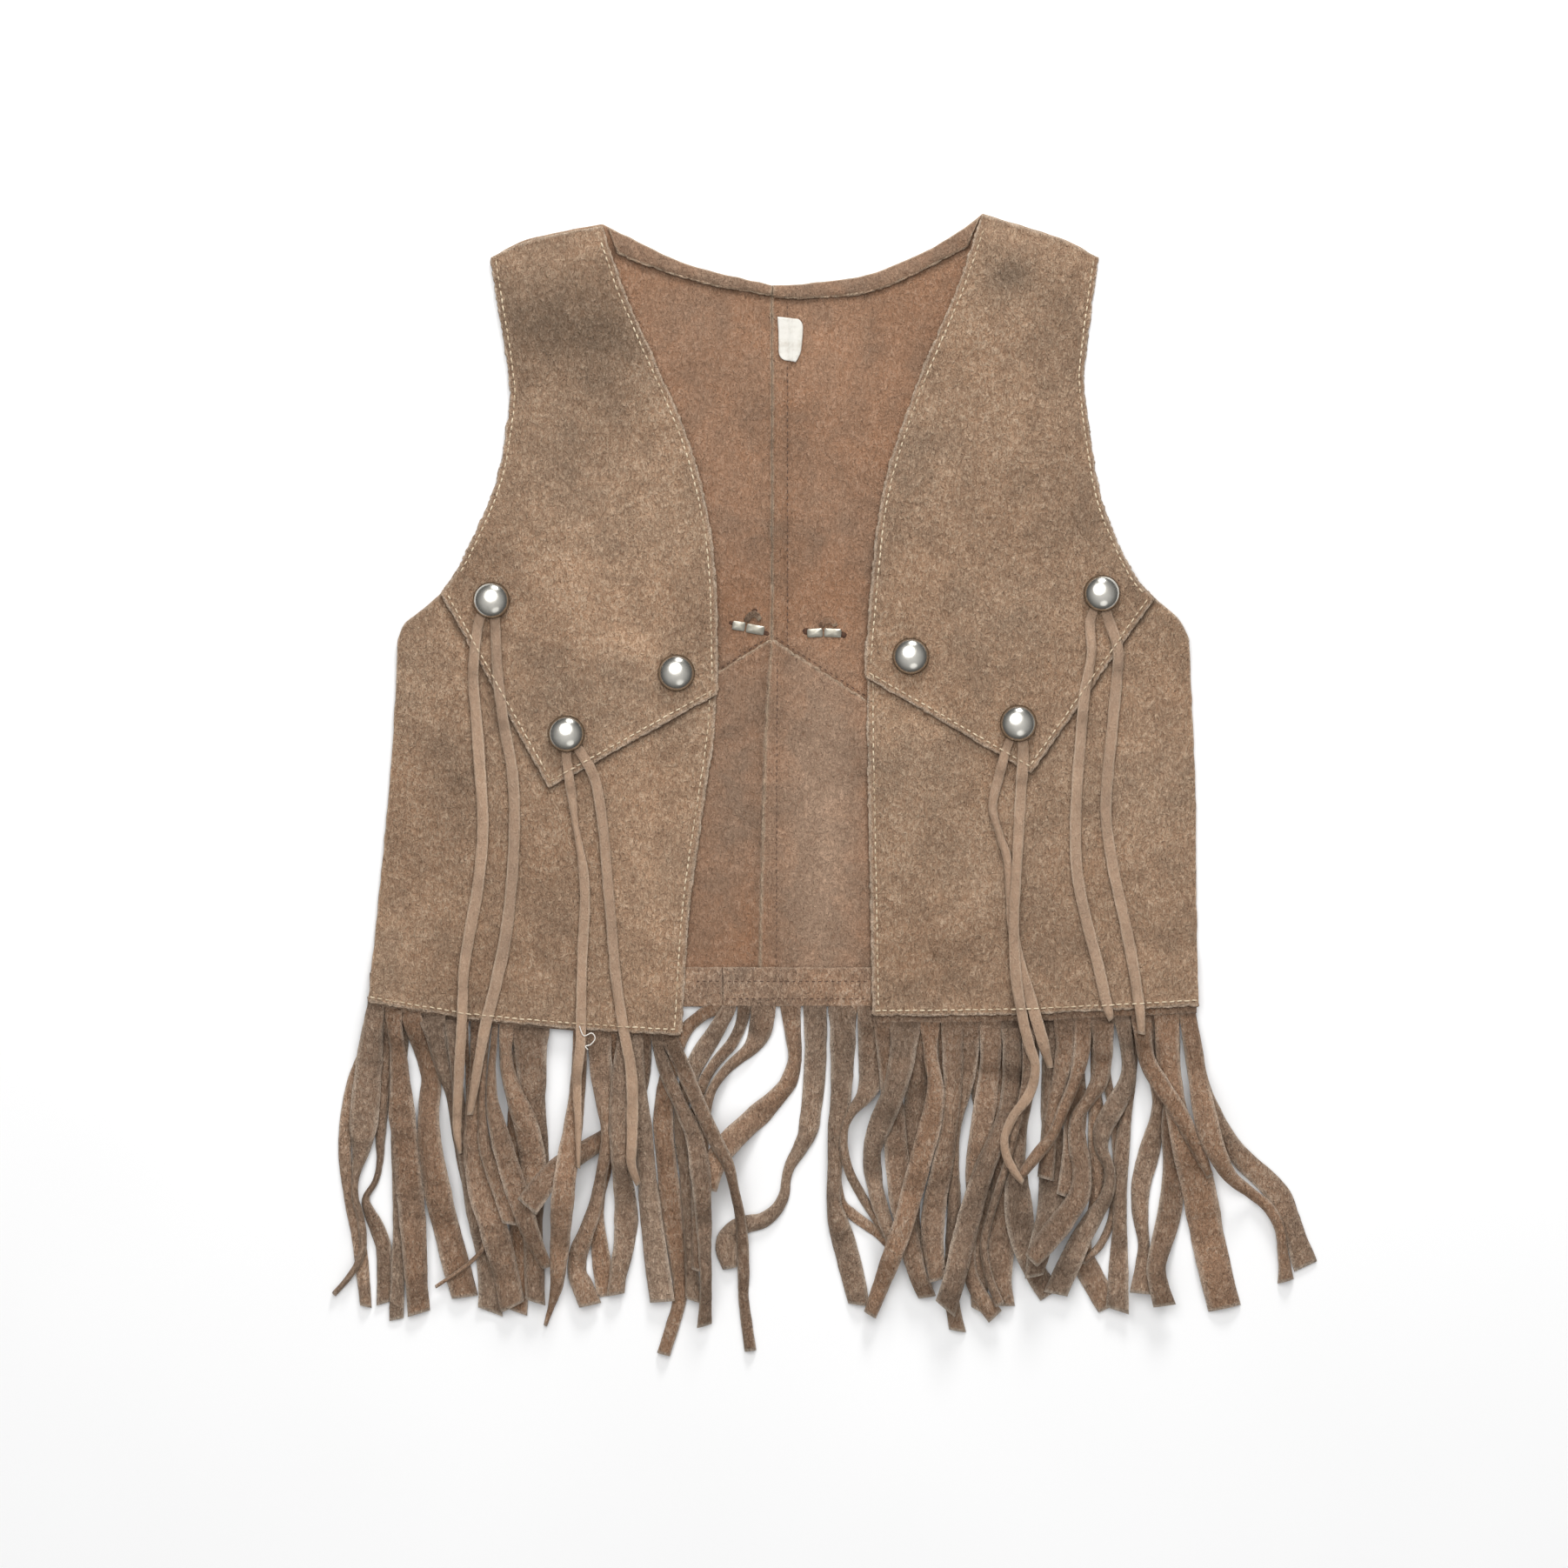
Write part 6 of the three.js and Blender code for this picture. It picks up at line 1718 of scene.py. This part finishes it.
def build_front_stitches(side, turn, low_inset, armhole_end, seed):
    """Seams of a front. Rows: edge, inset in millimetres, first and last share of the edge."""
    front = FRONTS[side]
    seams = [
        (front["innerHigh"], -2.9, 0.03, 0.98),
        (front["innerLow"], -low_inset, 0.06, 0.985),
        (front["armhole"], 2.2, 0.01, armhole_end),
        (front["hem"], 2.6, 0.0, 0.99),
        (front["point"][:2], 2.6, 0.02, 0.985),
        (front["point"][1:], 2.6, 0.015, 0.98),
    ]
    lines = [part_of(inset_line(rows, turn * inset), start, end) for rows, inset, start, end in seams]
    build_stitches(f"stitches_front_{side}", lines, "thread_cream", "suede_front", seed, **CREAM)


def build_back_stitches():
    seams = (
        [[905.5, 350], [905.5, 364]],
        [[905.5, 420], [905.5, 738]],
        [[894, 760], [893, 900], [893, 1108]],
        [[835, 1128], [996, 1128]],
        [[833, 1148], [996, 1148]],
        [[799, 1128], [829, 1128]],
    )
    lines = [smooth_line(to_mm(rows)) for rows in seams]
    lines += [inset_line([[887.5, 736], [995, 806]], 2.4), inset_line([[887.5, 736], [831, 773]], -2.4)]
    build_stitches("stitches_back", lines, "thread_brown", "suede_back", 900, **BROWN)


LOOSE_THREAD = [[667, 1179], [672, 1190], [681, 1187], [685, 1193], [680, 1200], [674, 1202], [677, 1206]]
LOOSE_STATIONS = 40
LOOSE_RADIUS = 0.34
LOOSE_DROP = 0.12


def build_loose_thread():
    """End of sewing thread that curls out from under the left front's hem"""
    line = smooth_line(to_mm(LOOSE_THREAD))
    points = points_at(line, np.linspace(0, line_runs(line)[-1], LOOSE_STATIONS))
    heights = np.array([surface_height(x, y) + 0.5 for x, y in points])
    stations = np.arange(LOOSE_STATIONS)
    apart = np.abs(stations[:, None] - stations[None, :])
    gentle = (heights[None, :] - LOOSE_DROP * apart).max(axis=1)
    radii = np.full((LOOSE_STATIONS, 6), LOOSE_RADIUS)
    vertices, faces = tube_mesh(np.column_stack([points, gentle]), radii)
    add_object("loose_thread", vertices, faces, "thread_white", slot="suede_front")


# Floor, lights and camera
FLOOR_HALF = 14
CAMERA_HEIGHT = 3.0
SENSOR = 36


def build_floor():
    mesh = bpy.data.meshes.new("floor")
    corners = [(x * FLOOR_HALF, y * FLOOR_HALF, 0) for x, y in ((-1, -1), (1, -1), (1, 1), (-1, 1))]
    mesh.from_pydata(corners, [], [(0, 1, 2, 3)])
    floor = bpy.data.objects.new("floor", mesh)
    bpy.context.scene.collection.objects.link(floor)
    floor.data.materials.append(looks["floor_board"])


def add_area_light(name, place, size, power):
    data = bpy.data.lights.new(name, "AREA")
    data.shape = "DISK"
    data.size = size
    data.energy = power
    light = bpy.data.objects.new(name, data)
    light.location = place
    light.rotation_mode = "QUATERNION"
    light.rotation_quaternion = (-light.location).to_track_quat("-Z", "Y")
    light.visible_camera = False
    bpy.context.scene.collection.objects.link(light)


def build_world():
    """Studio light from all round, brightest overhead"""
    world = bpy.data.worlds.new("studio")
    g = Graph(world)
    upward = g.node("ShaderNodeSeparateXYZ", {0: g.coordinates["Generated"]}, "Z")
    overhead = g.math("POWER", g.spread(upward, 0.0, 1.0), 2.0)
    background = g.tree.nodes["Background"].inputs
    g.join(g.math("MULTIPLY_ADD", overhead, 0.8, 0.1), background["Strength"])
    g.join((1.0, 1.0, 1.0, 1.0), background["Color"])
    bpy.context.scene.world = world
    bpy.context.scene.view_settings.view_transform = "Standard"


def build_camera():
    data = bpy.data.cameras.new("camera")
    data.sensor_width = SENSOR
    data.lens = SENSOR * CAMERA_HEIGHT / (PHOTO_PX * MM_PER_PX / 1000)
    camera = bpy.data.objects.new("camera", data)
    camera.location = (to_x(PHOTO_PX / 2) / 1000, to_y(PHOTO_PX / 2) / 1000, CAMERA_HEIGHT)
    bpy.context.scene.collection.objects.link(camera)
    bpy.context.scene.camera = camera


# Each piece settles on those that were laid before it
for side, back in BACKS.items():
    build_back_yoke(side, back)
for side, back in BACKS.items():
    build_back_lower(side, back)
for side, hem in NECK_HEMS.items():
    build_neck_hem(side, hem)
build_fringes()
for side, front in FRONTS.items():
    build_front(side, front)
build_frays()
build_laces()
build_studs()
build_fastenings()
build_label()
build_front_stitches("left", 1, 3.6, 0.93, 800)
build_front_stitches("right", -1, 2.9, 0.97, 850)
build_back_stitches()
build_loose_thread()
build_floor()
add_area_light("key_light", (-0.25, 0.8, 1.9), 1.9, 23)
add_area_light("top_light", (0.25, 1.7, 0.75), 0.5, 21)
add_area_light("low_fill", (0.5, -1.5, 1.6), 1.2, 3)
build_world()
build_camera()
